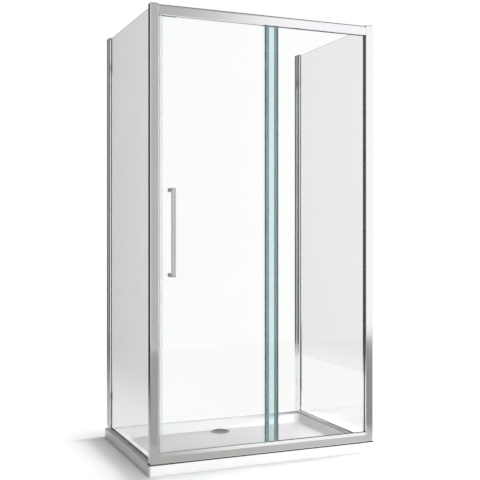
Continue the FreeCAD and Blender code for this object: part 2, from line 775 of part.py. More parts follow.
def make_bead():
    """Sealing bead between the tray and the frame: along the front, and round the outer side of each post."""
    front = extruded("front_bead", "YZ", [[(0, 0), (0, "bead_leg"), ("-bead_leg", 0)]], "2 * outer_x")
    place(front, "-outer_x", "front_y", "tray_height")
    side = extruded("side_bead", "XZ", [[(0, 0), (0, "bead_leg"), ("-bead_leg", 0)]], "post_depth")
    place(side, "-outer_x", "front_y + post_depth", "tray_height")
    node(grouped([front, side, mirrored(side)]), "frame_bead")


# ---------------------------------------------------------------- fixed glass and sides
def make_fixed_panel():
    """Fixed front glass with its gasket in the rails and the right post, and the seal on its free edge."""
    glass = box("panel_split", "fixed_y", "fixed_bottom + gasket_thickness",
                "fixed_end - gasket_thickness - panel_split",
                "glass_thickness", "fixed_top - fixed_bottom - 2 * gasket_thickness")
    node(glass, "fixed_glass")
    start = "(panel_split + seal_leg)"
    outer = box(start, "front_y + fixed_pocket", "fixed_bottom", f"fixed_end - {start}", "pocket_width",
                "fixed_top - fixed_bottom")
    low = "(tray_height + bottom_rail_height + gasket_lip)"
    window = box(f"{start} - 1", "front_y", low, f"inner_x - gasket_lip - {start} + 1", "post_depth",
                 f"tray_height + top_rail_z - gasket_lip - {low}")
    node(cut(outer, [window, glass]), "fixed_glass_gasket")
    # Clip round the glass edge with a soft fin that reaches back towards the door.
    fin = "door_glass_inset - fixed_pocket - 0.4"
    back = "pocket_width"
    wall = "seal_wall"
    outline = [(f"-{wall}", f"gasket_thickness - {wall}"), ("seal_leg", f"gasket_thickness - {wall}"),
               ("seal_leg", "gasket_thickness"), (0, "gasket_thickness"), (0, f"{back} - gasket_thickness"),
               ("seal_leg", f"{back} - gasket_thickness"),
               ("seal_leg", f"{back} - gasket_thickness + {wall}"),
               (f"2 * {wall}", f"{back} - gasket_thickness + {wall}"), (wall, fin), (f"0.4 * {wall}", fin),
               (f"-{wall}", f"{back} - gasket_thickness + {wall}")]
    seal = extruded("fixed_glass_seal", "XY", [outline], "seal_height")
    node(place(seal, "panel_split", "front_y + fixed_pocket", "seal_bottom"), "fixed_glass_seal")


def make_sides():
    """One side: glass, sill, gasket, wall channel, sliding glass profile, its cap and screws; then mirrored."""
    glass_bottom = "tray_height + sill_floor + gasket_thickness"
    glass = box("side_x", "side_post_y + gasket_thickness", glass_bottom, "glass_thickness",
                "side_end - side_post_y - 2 * gasket_thickness", f"side_top - ({glass_bottom})")
    pieces = {"side_glass": glass}
    sill_x = "side_axis - outer_x - sill_width / 2"
    sill_slot = "(sill_width / 2 - pocket_width / 2)"
    sill = extruded("sill", "XZ", [[(0, 0), ("sill_width", 0), ("sill_width", "sill_height - sill_chamfer"),
                                    (f"sill_width - {sill_slot} / 2", "sill_height"),
                                    (f"sill_width - {sill_slot}", "sill_height"),
                                    (f"sill_width - {sill_slot}", "sill_floor"),
                                    (sill_slot, "sill_floor"), (sill_slot, "sill_height"),
                                    (f"{sill_slot} / 2", "sill_height"), (0, "sill_height - sill_chamfer")]],
                    "profile_y - front_y - post_depth")
    pieces["side_sill"] = place(sill, sill_x, "profile_y", "tray_height")
    strip = box("side_x - gasket_thickness", "side_post_y", "tray_height + sill_floor", "pocket_width",
                "side_end - side_post_y", "side_top - tray_height - sill_floor")
    window_y = "(front_y + post_depth + gasket_lip)"
    window_z = "(tray_height + sill_height + gasket_lip)"
    window = box("-outer_x", window_y, window_z, "post_width", f"profile_y - gasket_lip - {window_y}",
                 "frame_height")
    pieces["side_gasket"] = cut(strip, [window, glass])
    channel_x = "(side_axis - outer_x - channel_width / 2)"
    channel = extruded("channel", "XY", [[(0, 0), ("channel_wall", 0),
                                          ("channel_wall", "channel_depth - channel_wall"),
                                          ("channel_width - channel_wall", "channel_depth - channel_wall"),
                                          ("channel_width - channel_wall", 0), ("channel_width", 0),
                                          ("channel_width", "channel_depth"),
                                          (0, "channel_depth")]], "channel_height")
    place(channel, channel_x, "wall_y - channel_depth", "tray_height")
    profile_width = "(channel_width - 2 * channel_wall)"
    slot = f"({profile_width} / 2 - pocket_width / 2)"
    wall = "profile_wall"
    length = "(profile_end - profile_y)"
    outline = [(0, 0), (slot, 0), (slot, "pocket_depth"), (f"{profile_width} - {slot}", "pocket_depth"),
               (f"{profile_width} - {slot}", 0), (profile_width, 0), (profile_width, length), (0, length)]
    hollow = [(wall, f"pocket_depth + {wall}"), (f"{profile_width} - {wall}", f"pocket_depth + {wall}"),
              (f"{profile_width} - {wall}", f"{length} - {wall}"), (wall, f"{length} - {wall}")]
    profile = extruded("profile", "XY", [outline, hollow], "channel_height")
    place(profile, f"{channel_x} + channel_wall", "profile_y", "tray_height")
    screw_x = f"({channel_x} + channel_width)"
    screw_y = "wall_y - channel_depth + 6"
    screws, bores, wall_holes = [], [], []
    for turn in range(3):
        z = f"tray_height + profile_screw_low + {turn} * profile_screw_pitch"
        reach = f"channel_wall + {wall} + profile_screw_reach"
        shank = rod("X", f"{screw_x} - ({reach})", screw_y, z, "profile_screw_radius", reach)
        head = rod("X", screw_x, screw_y, z, "profile_screw_head", "profile_screw_head_height")
        screws.append(fused([shank, head]))
        bores.append(rod("X", f"{screw_x} - ({reach})", screw_y, z, "profile_screw_radius", f"{reach} + 1"))
        hole_z = f"tray_height + wall_hole_low + {turn} * wall_hole_pitch"
        wall_holes.append(rod("Y", "side_axis - outer_x", "wall_y - 2 * channel_wall", hole_z,
                              "wall_hole_radius",
                              "3 * channel_wall"))
    pieces["wall_channel"] = cut(channel, bores + wall_holes)
    pieces["glass_profile"] = cut(profile, bores)
    pieces["profile_screws"] = grouped(screws)
    cap = extruded("profile_cap", "XY", [[(0, "profile_reach - channel_depth"),
                                          ("channel_wall", "profile_reach - channel_depth"),
                                          ("channel_wall", 0), ("channel_width - channel_wall", 0),
                                          ("channel_width - channel_wall", "profile_reach - channel_depth"),
                                          ("channel_width", "profile_reach - channel_depth"),
                                          ("channel_width", "profile_reach"),
                                          (0, "profile_reach")]], "profile_cap_height")
    notch = box("side_x - gasket_thickness", "profile_y - 1", "tray_height + channel_height", "pocket_width",
                "pocket_depth + 1", "2 * profile_cap_height")
    place(cap, channel_x, "profile_y", "tray_height + channel_height")
    pieces["profile_cap"] = cut(cap, [notch])
    for name, piece in pieces.items():
        node(piece, "left_" + name)
        node(mirrored(piece), "right_" + name)


# ---------------------------------------------------------------- door
def make_door_glass():
    """Sliding glass with holes for the hanger bolts and the handle screws."""
    glass = box("door_left", "door_y", "door_bottom", "door_right - door_left", "glass_thickness",
                "door_top - door_bottom")
    holes = []
    for hanger in ("left_hanger_x", "right_hanger_x"):
        for side in (-1, 1):
            holes.append(rod("Y", f"{hanger} + {side} * wheel_pitch / 2", "door_y - 1", "bolt_z",
                             "bolt_radius",
                             "glass_thickness + 2"))
    for z in ("handle_low + handle_foot / 2", "handle_low + handle_length - handle_foot / 2"):
        holes.append(rod("Y", "handle_centre", "door_y - 1", z, "handle_screw_radius + 1",
                         "glass_thickness + 2"))
    node(cut(glass, holes), "door_glass")


def make_door_seals():
    """Magnetic pair at the post, overlap seal with a fin towards the fixed glass, wiper along the bottom."""
    wall = "seal_wall"
    post = extruded("post_magnet", "XY", [[(0, 0), ("magnet_thickness", wall),
                                           ("magnet_thickness", f"glass_thickness - {wall}"),
                                           (0, "glass_thickness")]], "seal_height")
    node(place(post, "-inner_x", "door_y", "seal_bottom"), "post_magnet_seal")
    thick = "(door_side_gap - magnet_thickness - magnet_gap)"
    outline = [(f"-{thick}", wall), (0, f"-{wall}"), ("seal_leg", f"-{wall}"), ("seal_leg", 0), (0, 0),
               (0, "glass_thickness"), ("seal_leg", "glass_thickness"),
               ("seal_leg", f"glass_thickness + {wall}"),
               (0, f"glass_thickness + {wall}"), (f"-{thick}", f"glass_thickness - {wall}")]
    lead = extruded("door_magnet", "XY", [outline], "seal_height")
    node(place(lead, "door_left", "door_y", "seal_bottom"), "door_magnet_seal")
    fin = "(fixed_glass_inset + glass_thickness + 0.4 - door_glass_inset)"
    outline = [("-seal_leg", f"-{wall}"), (f"-2 * {wall}", f"-{wall}"), (f"-0.4 * {wall}", fin),
               (f"0.4 * {wall}", fin),
               (wall, f"-{wall}"), (wall, f"glass_thickness + {wall}"),
               ("-seal_leg", f"glass_thickness + {wall}"),
               ("-seal_leg", "glass_thickness"), (0, "glass_thickness"), (0, 0), ("-seal_leg", 0)]
    trail = extruded("door_overlap", "XY", [outline], "seal_height")
    node(place(trail, "door_right", "door_y", "seal_bottom"), "door_overlap_seal")
    outline = [(f"-{wall}", "guide_grip"), (f"-{wall}", f"-{wall}"),
               (f"glass_thickness / 2 - {wall} / 2", f"-{wall}"),
               (f"glass_thickness / 2 - {wall} / 2", "tray_height + groove_floor + wiper_gap - door_bottom"),
               (f"glass_thickness / 2 + {wall} / 2", "tray_height + groove_floor + wiper_gap - door_bottom"),
               (f"glass_thickness / 2 + {wall} / 2", f"-{wall}"), (f"glass_thickness + {wall}", f"-{wall}"),
               (f"glass_thickness + {wall}", "guide_grip"), ("glass_thickness", "guide_grip"),
               ("glass_thickness", 0),
               (0, 0), (0, "guide_grip")]
    wiper = extruded("door_wiper", "YZ", [outline], "right_guide_x - left_guide_x - guide_length - 2")
    node(place(wiper, "left_guide_x + guide_length / 2 + 1", "door_y", "door_bottom"), "door_bottom_seal")


def make_handle():
    """U-shaped pull of flat bar, with washers, screws through the glass and caps inside."""
    outline = [(0, 0), ("-handle_reach + washer_thickness", 0),
               ("-handle_reach + washer_thickness", "handle_length"),
               (0, "handle_length"), (0, "handle_length - handle_foot"),
               ("-handle_reach + washer_thickness + handle_bar", "handle_length - handle_foot"),
               ("-handle_reach + washer_thickness + handle_bar", "handle_foot"), (0, "handle_foot")]
    pull = extruded("pull", "YZ", [outline], "handle_width", both_ways=True)
    rounded(pull, 0, [("-handle_reach + washer_thickness", 0),
                      ("-handle_reach + washer_thickness", "handle_length")],
            "2 * handle_round")
    rounded(pull, 0, [("-handle_reach + washer_thickness + handle_bar", "handle_foot"),
                      ("-handle_reach + washer_thickness + handle_bar",
                       "handle_length - handle_foot")], "handle_round")
    place(pull, "handle_centre", "handle_y", "handle_low")
    spots = ["handle_low + handle_foot / 2", "handle_low + handle_length - handle_foot / 2"]
    bores = [rod("Y", "handle_centre", "handle_y - handle_screw_depth", z, "handle_screw_radius",
                 "handle_screw_depth + 1")
             for z in spots]
    node(cut(pull, bores), "door_handle")
    washers, screws, caps = [], [], []
    for z in spots:
        disc = rod("Y", "handle_centre", "handle_y", z, "handle_foot / 2", "washer_thickness")
        hole = rod("Y", "handle_centre", "handle_y - 1", z, "handle_screw_radius", "washer_thickness + 2")
        washers.append(cut(disc, [hole]))
        screws.append(rod("Y", "handle_centre", "handle_y - handle_screw_depth + 1", z, "handle_screw_radius",
                          "handle_screw_depth - 1 + washer_thickness + glass_thickness + handle_cap_bore"))
        cap = turned("cap", [("handle_screw_radius", 0), ("handle_cap_radius", 0),
                             ("handle_cap_radius", "0.5 * handle_cap_height"),
                             ("0.85 * handle_cap_radius", "0.85 * handle_cap_height"),
                             ("0.6 * handle_cap_radius", "handle_cap_height"), (0, "handle_cap_height"),
                             (0, "handle_cap_bore"), ("handle_screw_radius", "handle_cap_bore")])
        caps.append(place(cap, "handle_centre", "door_y + glass_thickness", z, ALONG_Y))
    node(grouped(washers), "handle_washers")
    node(grouped(screws), "handle_screws")
    node(grouped(caps), "handle_caps")


def make_hangers():
    """Two hangers in the top rail: plates bolted to the glass, axles and grooved wheels on the track."""
    bolts, axles = [], []
    plate_y = "(door_y + glass_thickness)"
    clip_y = "front_y + track_y + wheel_width / 2 + axle_clip_gap"
    plate_low = "bolt_z - bolt_radius - plate_margin"
    wheel = [("axle_radius + bearing_gap", "-wheel_width / 2"), ("wheel_hub", "-wheel_width / 2"),
             ("wheel_radius", "-wheel_width / 2 + wheel_chamfer"), ("wheel_radius", "-groove_width / 2"),
             ("wheel_radius - groove_depth", "-groove_width / 2"),
             ("wheel_radius - groove_depth", "groove_width / 2"),
             ("wheel_radius", "groove_width / 2"), ("wheel_radius", "wheel_width / 2 - wheel_chamfer"),
             ("wheel_hub", "wheel_width / 2"), ("axle_radius + bearing_gap", "wheel_width / 2")]
    for hanger, side in (("left_hanger", "left"), ("right_hanger", "right")):
        middle = hanger + "_x"
        plate = extruded("plate", "XZ", [[("-hanger_length / 2", 0), ("hanger_length / 2", 0),
                                         ("hanger_length / 2", "0.8 * wheel_radius + ledge_height"),
                                         ("hanger_length / 2 - hanger_corner",
                                          f"axle_z + hanger_top - ({plate_low})"),
                                         ("hanger_corner - hanger_length / 2",
                                          f"axle_z + hanger_top - ({plate_low})"),
                                         ("-hanger_length / 2",
                                          "0.8 * wheel_radius + ledge_height")]], "hanger_plate")
        place(plate, middle, f"{plate_y} + hanger_plate", plate_low)
        bores = []
        for number, turn in ((1, -1), (2, 1)):
            x = f"{middle} + {turn} * wheel_pitch / 2"
            bores.append(rod("Y", x, f"{plate_y} - 1", "axle_z", "axle_radius", "hanger_plate + 2"))
            bores.append(rod("Y", x, f"{plate_y} - 1", "bolt_z", "bolt_radius", "hanger_plate + 2"))
            shank = rod("Y", x, "door_y", "bolt_z", "bolt_radius",
                        "glass_thickness + hanger_plate + bolt_nut_height")
            head = rod("Y", x, "door_y - bolt_head_height", "bolt_z", "bolt_head", "bolt_head_height")
            nut = rod("Y", x, f"{plate_y} + hanger_plate", "bolt_z", "bolt_head", "bolt_nut_height")
            bolts.append(fused([shank, head, nut]))
            pin = rod("Y", x, plate_y, "axle_z", "axle_radius", f"{clip_y} + axle_clip - {plate_y}")
            clip = rod("Y", x, clip_y, "axle_z", "axle_head", "axle_clip")
            axles.append(fused([pin, clip]))
            roller = turned("wheel", wheel)
            node(place(roller, x, "front_y + track_y", "axle_z", ALONG_Y), f"{side}_wheel_{number}")
        node(cut(plate, bores), hanger)
    node(grouped(bolts), "hanger_bolts")
    node(grouped(axles), "wheel_axles")


def make_end_stops():
    """Rubber stops on the track at both ends of the door's travel."""
    reach = "(wheel_pitch / 2 + wheel_radius + stop_gap)"
    stops = [("left", f"left_hanger_x - {reach} - stop_length", 1),
             ("right", f"right_hanger_x + {reach} + door_travel + stop_length", -1)]
    for label, x, way in stops:
        nose = extruded(label, "XZ", [[(0, 0), (f"{way} * (stop_length - stop_nose)", 0),
                                       (f"{way} * stop_length", "0.3 * stop_height"),
                                       (f"{way} * stop_length", "0.7 * stop_height"),
                                       (f"{way} * (stop_length - stop_nose)", "stop_height"),
                                       (0, "stop_height")]],
                        "ledge_width")
        place(nose, x, "front_y + chamber_back", "tray_height + top_rail_z + track_z")
        bead = box("-inner_x", "front_y + track_y - bead_width / 2", "tray_height + top_rail_z + track_z",
                   "2 * inner_x", "bead_width", "bead_height")
        node(cut(nose, [bead]), label + "_end_stop")


def make_guides():
    """Two clips under the door glass, each with a pin and a small roller in the bottom rail's groove."""
    wall = "guide_wall"
    for label, middle in (("left", "left_guide_x"), ("right", "right_guide_x")):
        clip = extruded(label, "YZ", [[(f"-{wall}", "-guide_base"),
                                       (f"glass_thickness + {wall}", "-guide_base"),
                                       (f"glass_thickness + {wall}", "guide_grip"),
                                       ("glass_thickness", "guide_grip"),
                                       ("glass_thickness", 0), (0, 0), (0, "guide_grip"),
                                       (f"-{wall}", "guide_grip")]],
                        "guide_length", both_ways=True)
        place(clip, middle, "door_y", "door_bottom")
        pin = rod("Z", middle, "front_y + door_middle", "roller_z - guide_pin_reach", "guide_pin_radius",
                  "door_bottom - roller_z")
        head = rod("Z", middle, "front_y + door_middle", "roller_z - guide_pin_reach - guide_pin_gap",
                   "guide_pin_radius + guide_pin_rim", "guide_pin_reach")
        node(fused([clip, pin, head]), label + "_guide")
        roller = turned("roller", [("guide_pin_radius + bearing_gap", 0),
                                   ("roller_radius - roller_chamfer", 0), ("roller_radius", "roller_chamfer"),
                                   ("roller_radius", "roller_height - roller_chamfer"),
                                   ("roller_radius - roller_chamfer", "roller_height"),
                                   ("guide_pin_radius + bearing_gap", "roller_height")])
        node(place(roller, middle, "front_y + door_middle", "roller_z"), label + "_guide_roller")


# ---------------------------------------------------------------- build and write
def build():
    make_tray()
    make_waste()
    make_cover()
    make_post("left_post", with_pocket=False, right=False)
    make_post("right_post", with_pocket=True, right=True)
    make_post_caps()
    make_top_rail()
    make_bottom_rail()
    make_infills()
    make_corner_joints()
    make_bead()
    make_fixed_panel()
    make_sides()
    make_door_glass()
    make_door_seals()
    make_handle()
    make_hangers()
    make_end_stops()
    make_guides()
    doc.recompute()


def check():
    """Stops when a feature failed or a sub-part is empty or not valid."""
    for thing in doc.Objects:
        if "Invalid" in thing.State or "Error" in thing.State:
            raise RuntimeError(f"{thing.Label} ({thing.Name}) failed: {thing.State}")
    for thing in NODES:
        if thing.Shape.isNull() or not thing.Shape.isValid() or not thing.Shape.Solids:
            raise RuntimeError(f"{thing.Label} has no valid solid")
        if min(solid.Volume for solid in thing.Shape.Solids) <= 0:
            raise RuntimeError(f"{thing.Label} has a solid turned inside out")


def write():
    os.makedirs("parts", exist_ok=True)
    for thing in NODES:
        thing.Shape.exportStep(os.path.join("parts", thing.Label + ".step"))


build()
check()
write()
print(len(NODES), "sub-parts")
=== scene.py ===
"""Looks of the shower enclosure: glass, polished aluminium, seals, handle, running gear and acrylic tray.

The part's frame: X along the front to the right, Y from the front towards the wall, Z up. Shapes are worked
out in millimetres and put into the meshes in metres.
"""
import math

import bmesh
import bpy
import numpy as np
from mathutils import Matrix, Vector


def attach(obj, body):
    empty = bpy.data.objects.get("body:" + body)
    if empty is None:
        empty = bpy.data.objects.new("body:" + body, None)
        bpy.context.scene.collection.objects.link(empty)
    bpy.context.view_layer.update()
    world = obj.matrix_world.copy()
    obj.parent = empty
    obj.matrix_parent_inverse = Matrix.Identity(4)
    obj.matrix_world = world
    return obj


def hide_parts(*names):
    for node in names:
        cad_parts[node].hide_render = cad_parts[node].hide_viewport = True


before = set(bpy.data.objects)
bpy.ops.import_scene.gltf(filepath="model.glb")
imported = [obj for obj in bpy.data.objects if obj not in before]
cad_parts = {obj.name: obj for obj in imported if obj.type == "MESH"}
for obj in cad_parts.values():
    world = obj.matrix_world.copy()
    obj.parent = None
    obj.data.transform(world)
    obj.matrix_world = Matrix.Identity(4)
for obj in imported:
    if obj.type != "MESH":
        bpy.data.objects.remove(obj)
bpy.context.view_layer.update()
SCENE = bpy.context.scene
MM = 0.001
ACROSS, INWARD, UPRIGHT = "X", "Y", "Z"
SIDES = ("left", "right")


# ---------------------------------------------------------------- sizes
def points_of(mesh):
    """All points of a mesh as rows."""
    flat = np.zeros(len(mesh.vertices) * 3)
    mesh.vertices.foreach_get("co", flat)
    return flat.reshape(-1, 3)


def box_of(node):
    """Lowest and highest corner of a CAD node in millimetres, to the thousandth."""
    points = points_of(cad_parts[node].data) / MM
    return points.min(0).round(3), points.max(0).round(3)


# The tray in millimetres: its size, the radius of its corners, the roll of its top edge and the inset of its
# flat rim.
TRAY_LOW, TRAY_HIGH = box_of("tray")
TRAY_WIDTH, TRAY_DEPTH, TRAY_HEIGHT = TRAY_HIGH - TRAY_LOW
WALL_CORNER, EDGE_ROLL, FLAT_RIM = 8.0, 4.0, 6.0

# The basin slopes from its mouth in the rim down to its floor: both have a lowest and a highest corner, inset
# from the tray's, and a corner radius. Then come the floor's height, the shares of the slope that the curves
# at mouth and floor take up, and the shares that are tried for a point between slope and drain.
MOUTH_LOW, MOUTH_HIGH, MOUTH_CORNER = TRAY_LOW[:2] + (47, 48), TRAY_HIGH[:2] - (47, 38), 46.0
FLOOR_LOW, FLOOR_HIGH, FLOOR_CORNER = TRAY_LOW[:2] + (95, 90), TRAY_HIGH[:2] - (95, 150), 30.0
FLOOR_Z = 19.0
MOUTH_BEND, FLOOR_BEND = 0.09, 0.11
TRIED_SHARES = np.linspace(0.7, 1 + FLOOR_BEND, 42)

# The anti-slip zone reaches this far past the sides of the basin's floor, and this far above it.
ANTISLIP_SPARE, ANTISLIP_RISE = 15.0, 1.5

# The drain lies under the middle of the waste's cover. It has a rolled brim, a seat for the flange, a bore
# for the tube and a recess underneath, which is as wide as the seat.
COVER_BOX = box_of("waste_cover")
DRAIN = (COVER_BOX[0] + COVER_BOX[1])[:2] / 2
BRIM_RADIUS, SEAT_RADIUS, TUBE_RADIUS = 48.0, 46.0, 28.0
SEAT_Z, RECESS_Z = 16.0, 9.0

# The domed cover: how far its top stands above the underside of its rim, the height of the rim, and the power
# of the dome's curve. Under it, the stem's radius and the height of its foot.
COVER_RISE, COVER_EDGE, COVER_POWER = 8.0, 1.6, 2.6
COVER_RADIUS, COVER_LOW = COVER_BOX[1][0] - DRAIN[0], COVER_BOX[1][2] - COVER_RISE
STEM_RADIUS, STEM_FOOT = 6.0, 11.0

# The bead between frame and tray, whose black also paints the shadow line there: its size, how far it
# reaches behind the frame's face, and how far the solid that it replaces stands out from that face.
BEAD_SIZE, BEAD_ROOT, BEAD_SOLID = 4.0, 0.6, 2.0

# Wheels: radii of the bore and the hub, and the width and depth of the groove.
WHEEL_BORE, WHEEL_HUB, GROOVE_WIDTH, GROOVE_DEPTH = 3.1, 6.0, 3.0, 1.0

# Numbers of points on each corner and on each straight run of a rounded rectangle.
CORNER_POINTS, RUN_POINTS = 12, 24

# Softened copies: points this near (in metres) become one point, faces that are level to this angle become
# one face, and an edge that turns by more than the last angle is a sharp one. A face looks along an axis if
# the part of its normal along it is more than the last number.
SAME_POINT, SAME_PLANE, SHARP_EDGE = 1e-6, 0.5, 30
LOOKS_ALONG = 0.7

# The studio floor's half width, and how far from the tray it has passed into white, in metres.
STUDIO_REACH, STUDIO_FADE = 30.0, 0.24


# ---------------------------------------------------------------- meshes
def put_mesh(name, points, faces, smooth=True):
    """A mesh object from points in millimetres and lists of corner numbers, at the origin."""
    mesh = bpy.data.meshes.new(name)
    mesh.from_pydata((np.asarray(points, float) * MM).tolist(), [], faces)
    mesh.update()
    mesh.polygons.foreach_set("use_smooth", np.full(len(mesh.polygons), smooth))
    piece = bpy.data.objects.new(name, mesh)
    SCENE.collection.objects.link(piece)
    return piece


def normals_of(mesh):
    """The outward direction of each face as rows."""
    flat = np.zeros(len(mesh.polygons) * 3)
    mesh.polygons.foreach_get("normal", flat)
    return flat.reshape(-1, 3)


def grid_faces(rows, columns, closed_rows=False):
    """Four-cornered faces between neighbouring points of a grid whose columns run round a closed ring; with
    closed rows the last ring also joins the first."""
    row = np.arange(rows if closed_rows else rows - 1)[:, None]
    column = np.arange(columns)[None, :]
    after = (column + 1) % columns
    above = (row + 1) % rows
    here, there = row * columns, above * columns
    corners = [here + column, here + after, there + after, there + column]
    return np.stack(np.broadcast_arrays(*corners), -1).reshape(-1, 4).tolist()


def smooth_by_angle(piece, degrees=35):
    """Turns all faces outwards and marks edges sharper than the angle, so that flat faces stay flat."""
    work = bmesh.new()
    work.from_mesh(piece.data)
    bmesh.ops.recalc_face_normals(work, faces=work.faces)
    limit = math.radians(degrees)
    for edge in work.edges:
        edge.smooth = len(edge.link_faces) == 2 and edge.calc_face_angle(0.0) < limit
    work.to_mesh(piece.data)
    work.free()


def turned(name, centre, profile, axis=UPRIGHT, around=48, bored=False):
    """A turned piece: each (radius, height) point of the profile goes round the axis through the centre, so a
    point lies at centre + radius * (cos a, sin a) + height along the axis. The profile starts and ends on the
    axis, or is a closed loop round the section of a bored piece."""
    profile = np.asarray(profile, float)
    angle = np.linspace(0, 2 * math.pi, around, endpoint=False)
    inner = profile if bored else profile[1:-1]
    ring = np.stack([inner[:, :1] * np.cos(angle), inner[:, :1] * np.sin(angle),
                     np.broadcast_to(inner[:, 1:], (len(inner), around))], -1)
    points = ring.reshape(-1, 3)
    faces = grid_faces(len(inner), around, closed_rows=bored)
    if not bored:
        points = np.concatenate([points, [[0, 0, profile[0, 1]]], [[0, 0, profile[-1, 1]]]])
        first, last = len(points) - 2, len(points) - 1
        top_ring = (len(inner) - 1) * around
        faces += [[first, (i + 1) % around, i] for i in range(around)]
        faces += [[last, top_ring + i, top_ring + (i + 1) % around] for i in range(around)]
    if axis == INWARD:
        points = points[:, [0, 2, 1]] * [-1, 1, 1]
    piece = put_mesh(name, points + np.asarray(centre, float), faces)
    smooth_by_angle(piece)
    return piece


def swept(name, path, profile):
    """A closed profile of (outward, upward) points carried along an open level path. At each point of the
    path the outward direction is the one that halves the bend, (a + b) / (1 + a . b) for the directions a and
    b of the two sides, so the sides keep their width round the corners. Both ends are closed."""
    path, profile = np.asarray(path, float), np.asarray(profile, float)
    ahead = np.diff(path[:, :2], axis=0)
    ahead /= np.linalg.norm(ahead, axis=1, keepdims=True)
    outward = np.column_stack([ahead[:, 1], -ahead[:, 0]])
    before, after = np.concatenate([outward[:1], outward]), np.concatenate([outward, outward[-1:]])
    mitre = (before + after) / (1 + (before * after).sum(1))[:, None]
    level = path[:, None, :2] + mitre[:, None, :] * profile[None, :, :1]
    height = path[:, None, 2:] + np.broadcast_to(profile[None, :, 1:], (len(path), len(profile), 1))
    points = np.concatenate([level, height], -1).reshape(-1, 3)
    columns = len(profile)
    faces = grid_faces(len(path), columns)
    faces += [list(range(columns))[::-1], list(range(len(points) - columns, len(points)))]
    piece = put_mesh(name, points, faces)
    smooth_by_angle(piece)
    return piece


def rounded_rectangle(low, high, radius):
    """Points round a rectangle with rounded corners, anticlockwise from the right: quarter circles of the
    radius at the corners, and evenly spaced points on the straight runs, the same number for any size."""
    low, high = np.asarray(low, float), np.asarray(high, float)
    turn = np.linspace(0, math.pi / 2, CORNER_POINTS)
    centres = [(high[0] - radius, high[1] - radius), (low[0] + radius, high[1] - radius),
               (low[0] + radius, low[1] + radius), (high[0] - radius, low[1] + radius)]
    arcs = [np.stack([x + radius * np.cos(turn + quarter * math.pi / 2),
                      y + radius * np.sin(turn + quarter * math.pi / 2)], -1)
            for quarter, (x, y) in enumerate(centres)]
    share = np.linspace(0, 1, RUN_POINTS + 2)[1:-1, None]
    runs = [a[-1] * (1 - share) + b[0] * share for a, b in zip(arcs, arcs[1:] + arcs[:1])]
    return np.concatenate([part for pair in zip(arcs, runs) for part in pair])


def softened(node, width, segments):
    """A merged copy of a CAD node whose sharp edges are rounded by the width: points at one place become one
    point, the flat parts become single faces, and a bevel of that width runs along each sharp edge."""
    work = bmesh.new()
    work.from_mesh(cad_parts[node].data)
    bmesh.ops.remove_doubles(work, verts=work.verts, dist=SAME_POINT)
    bmesh.ops.dissolve_limit(work, angle_limit=math.radians(SAME_PLANE), verts=work.verts, edges=work.edges)
    mesh = bpy.data.meshes.new(node)
    work.to_mesh(mesh)
    work.free()
    mesh.polygons.foreach_set("use_smooth", np.ones(len(mesh.polygons), bool))
    piece = bpy.data.objects.new(node + "_finish", mesh)
    SCENE.collection.objects.link(piece)
    edge = piece.modifiers.new("soft_edges", "BEVEL")
    edge.width = width * MM
    edge.segments = segments
    edge.limit_method = "ANGLE"
    edge.angle_limit = math.radians(SHARP_EDGE)
    edge.use_clamp_overlap = True
    flat = piece.modifiers.new("flat_faces", "WEIGHTED_NORMAL")
    flat.weight = 100
    flat.keep_sharp = True
    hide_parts(node)
    return piece


def finish(piece, body, slot, *materials):
    """Gives a piece its materials and the body that it rides on; the slot is not used."""
    for material in materials:
        piece.data.materials.append(material)
    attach(piece, body)
    return piece


def dress(node, body, slot, *materials, width, segments=2):
    """A softened copy of a CAD node, with edges of the width, its materials and its body."""
    return finish(softened(node, width, segments), body, slot, *materials)


# ---------------------------------------------------------------- shader nodes
def add_node(tree, kind, links=None, **settings):
    """A shader node with its settings, and its inputs linked or set by name or number."""
    made = tree.nodes.new("ShaderNode" + kind)
    for key, setting in settings.items():
        setattr(made, key, setting)
    for key, source in (links or {}).items():
        socket = made.inputs[key]
        if isinstance(source, bpy.types.NodeSocket):
            tree.links.new(source, socket)
        else:
            socket.default_value = source
    return made


def feed(tree, target, sources):
    """Links each source to the target's input of that name."""
    for key, source in sources.items():
        tree.links.new(source, target.inputs[key])


def calc(tree, operation, *values):
    """The result of one operation on numbers."""
    return add_node(tree, "Math", dict(enumerate(values)), operation=operation).outputs[0]


def vector_calc(tree, operation, *values):
    """The result of one operation on vectors."""
    return add_node(tree, "VectorMath", dict(enumerate(values)), operation=operation).outputs["Vector"]


def spread(tree, value, start, end, low=0.0, high=1.0, curve="LINEAR"):
    """A value between start and end, spread over low to high."""
    return add_node(tree, "MapRange", {"Value": value, "From Min": start, "From Max": end, "To Min": low,
                                       "To Max": high}, interpolation_type=curve).outputs["Result"]


def split(tree, vector, axis):
    """The part of a vector along an axis."""
    return add_node(tree, "SeparateXYZ", {0: vector}).outputs["XYZ".index(axis)]


def tint(tree, factor, dark, light):
    """A colour between two by a factor."""
    return add_node(tree, "Mix", {0: factor, 6: (*dark, 1), 7: (*light, 1)}, data_type="RGBA").outputs[2]


def shaded(tree, factor, colour, shade):
    """A colour that is multiplied by a shade where the factor is 1."""
    return add_node(tree, "Mix", {0: factor, 6: colour, 7: (*shade, 1)}, data_type="RGBA",
                    blend_type="MULTIPLY").outputs[2]


def surface(tree, factor, first, second, output="Material Output"):
    """Gives the output the first shader where the factor is 0 and the second where it is 1."""
    mix = add_node(tree, "MixShader", {0: factor, 1: first.outputs[0], 2: second.outputs[0]})
    feed(tree, tree.nodes[output], {"Surface": mix.outputs[0]})


def use_group(tree, group, links):
    """A shared effect placed in a material with the material's own values."""
    return add_node(tree, "Group", links, node_tree=group)


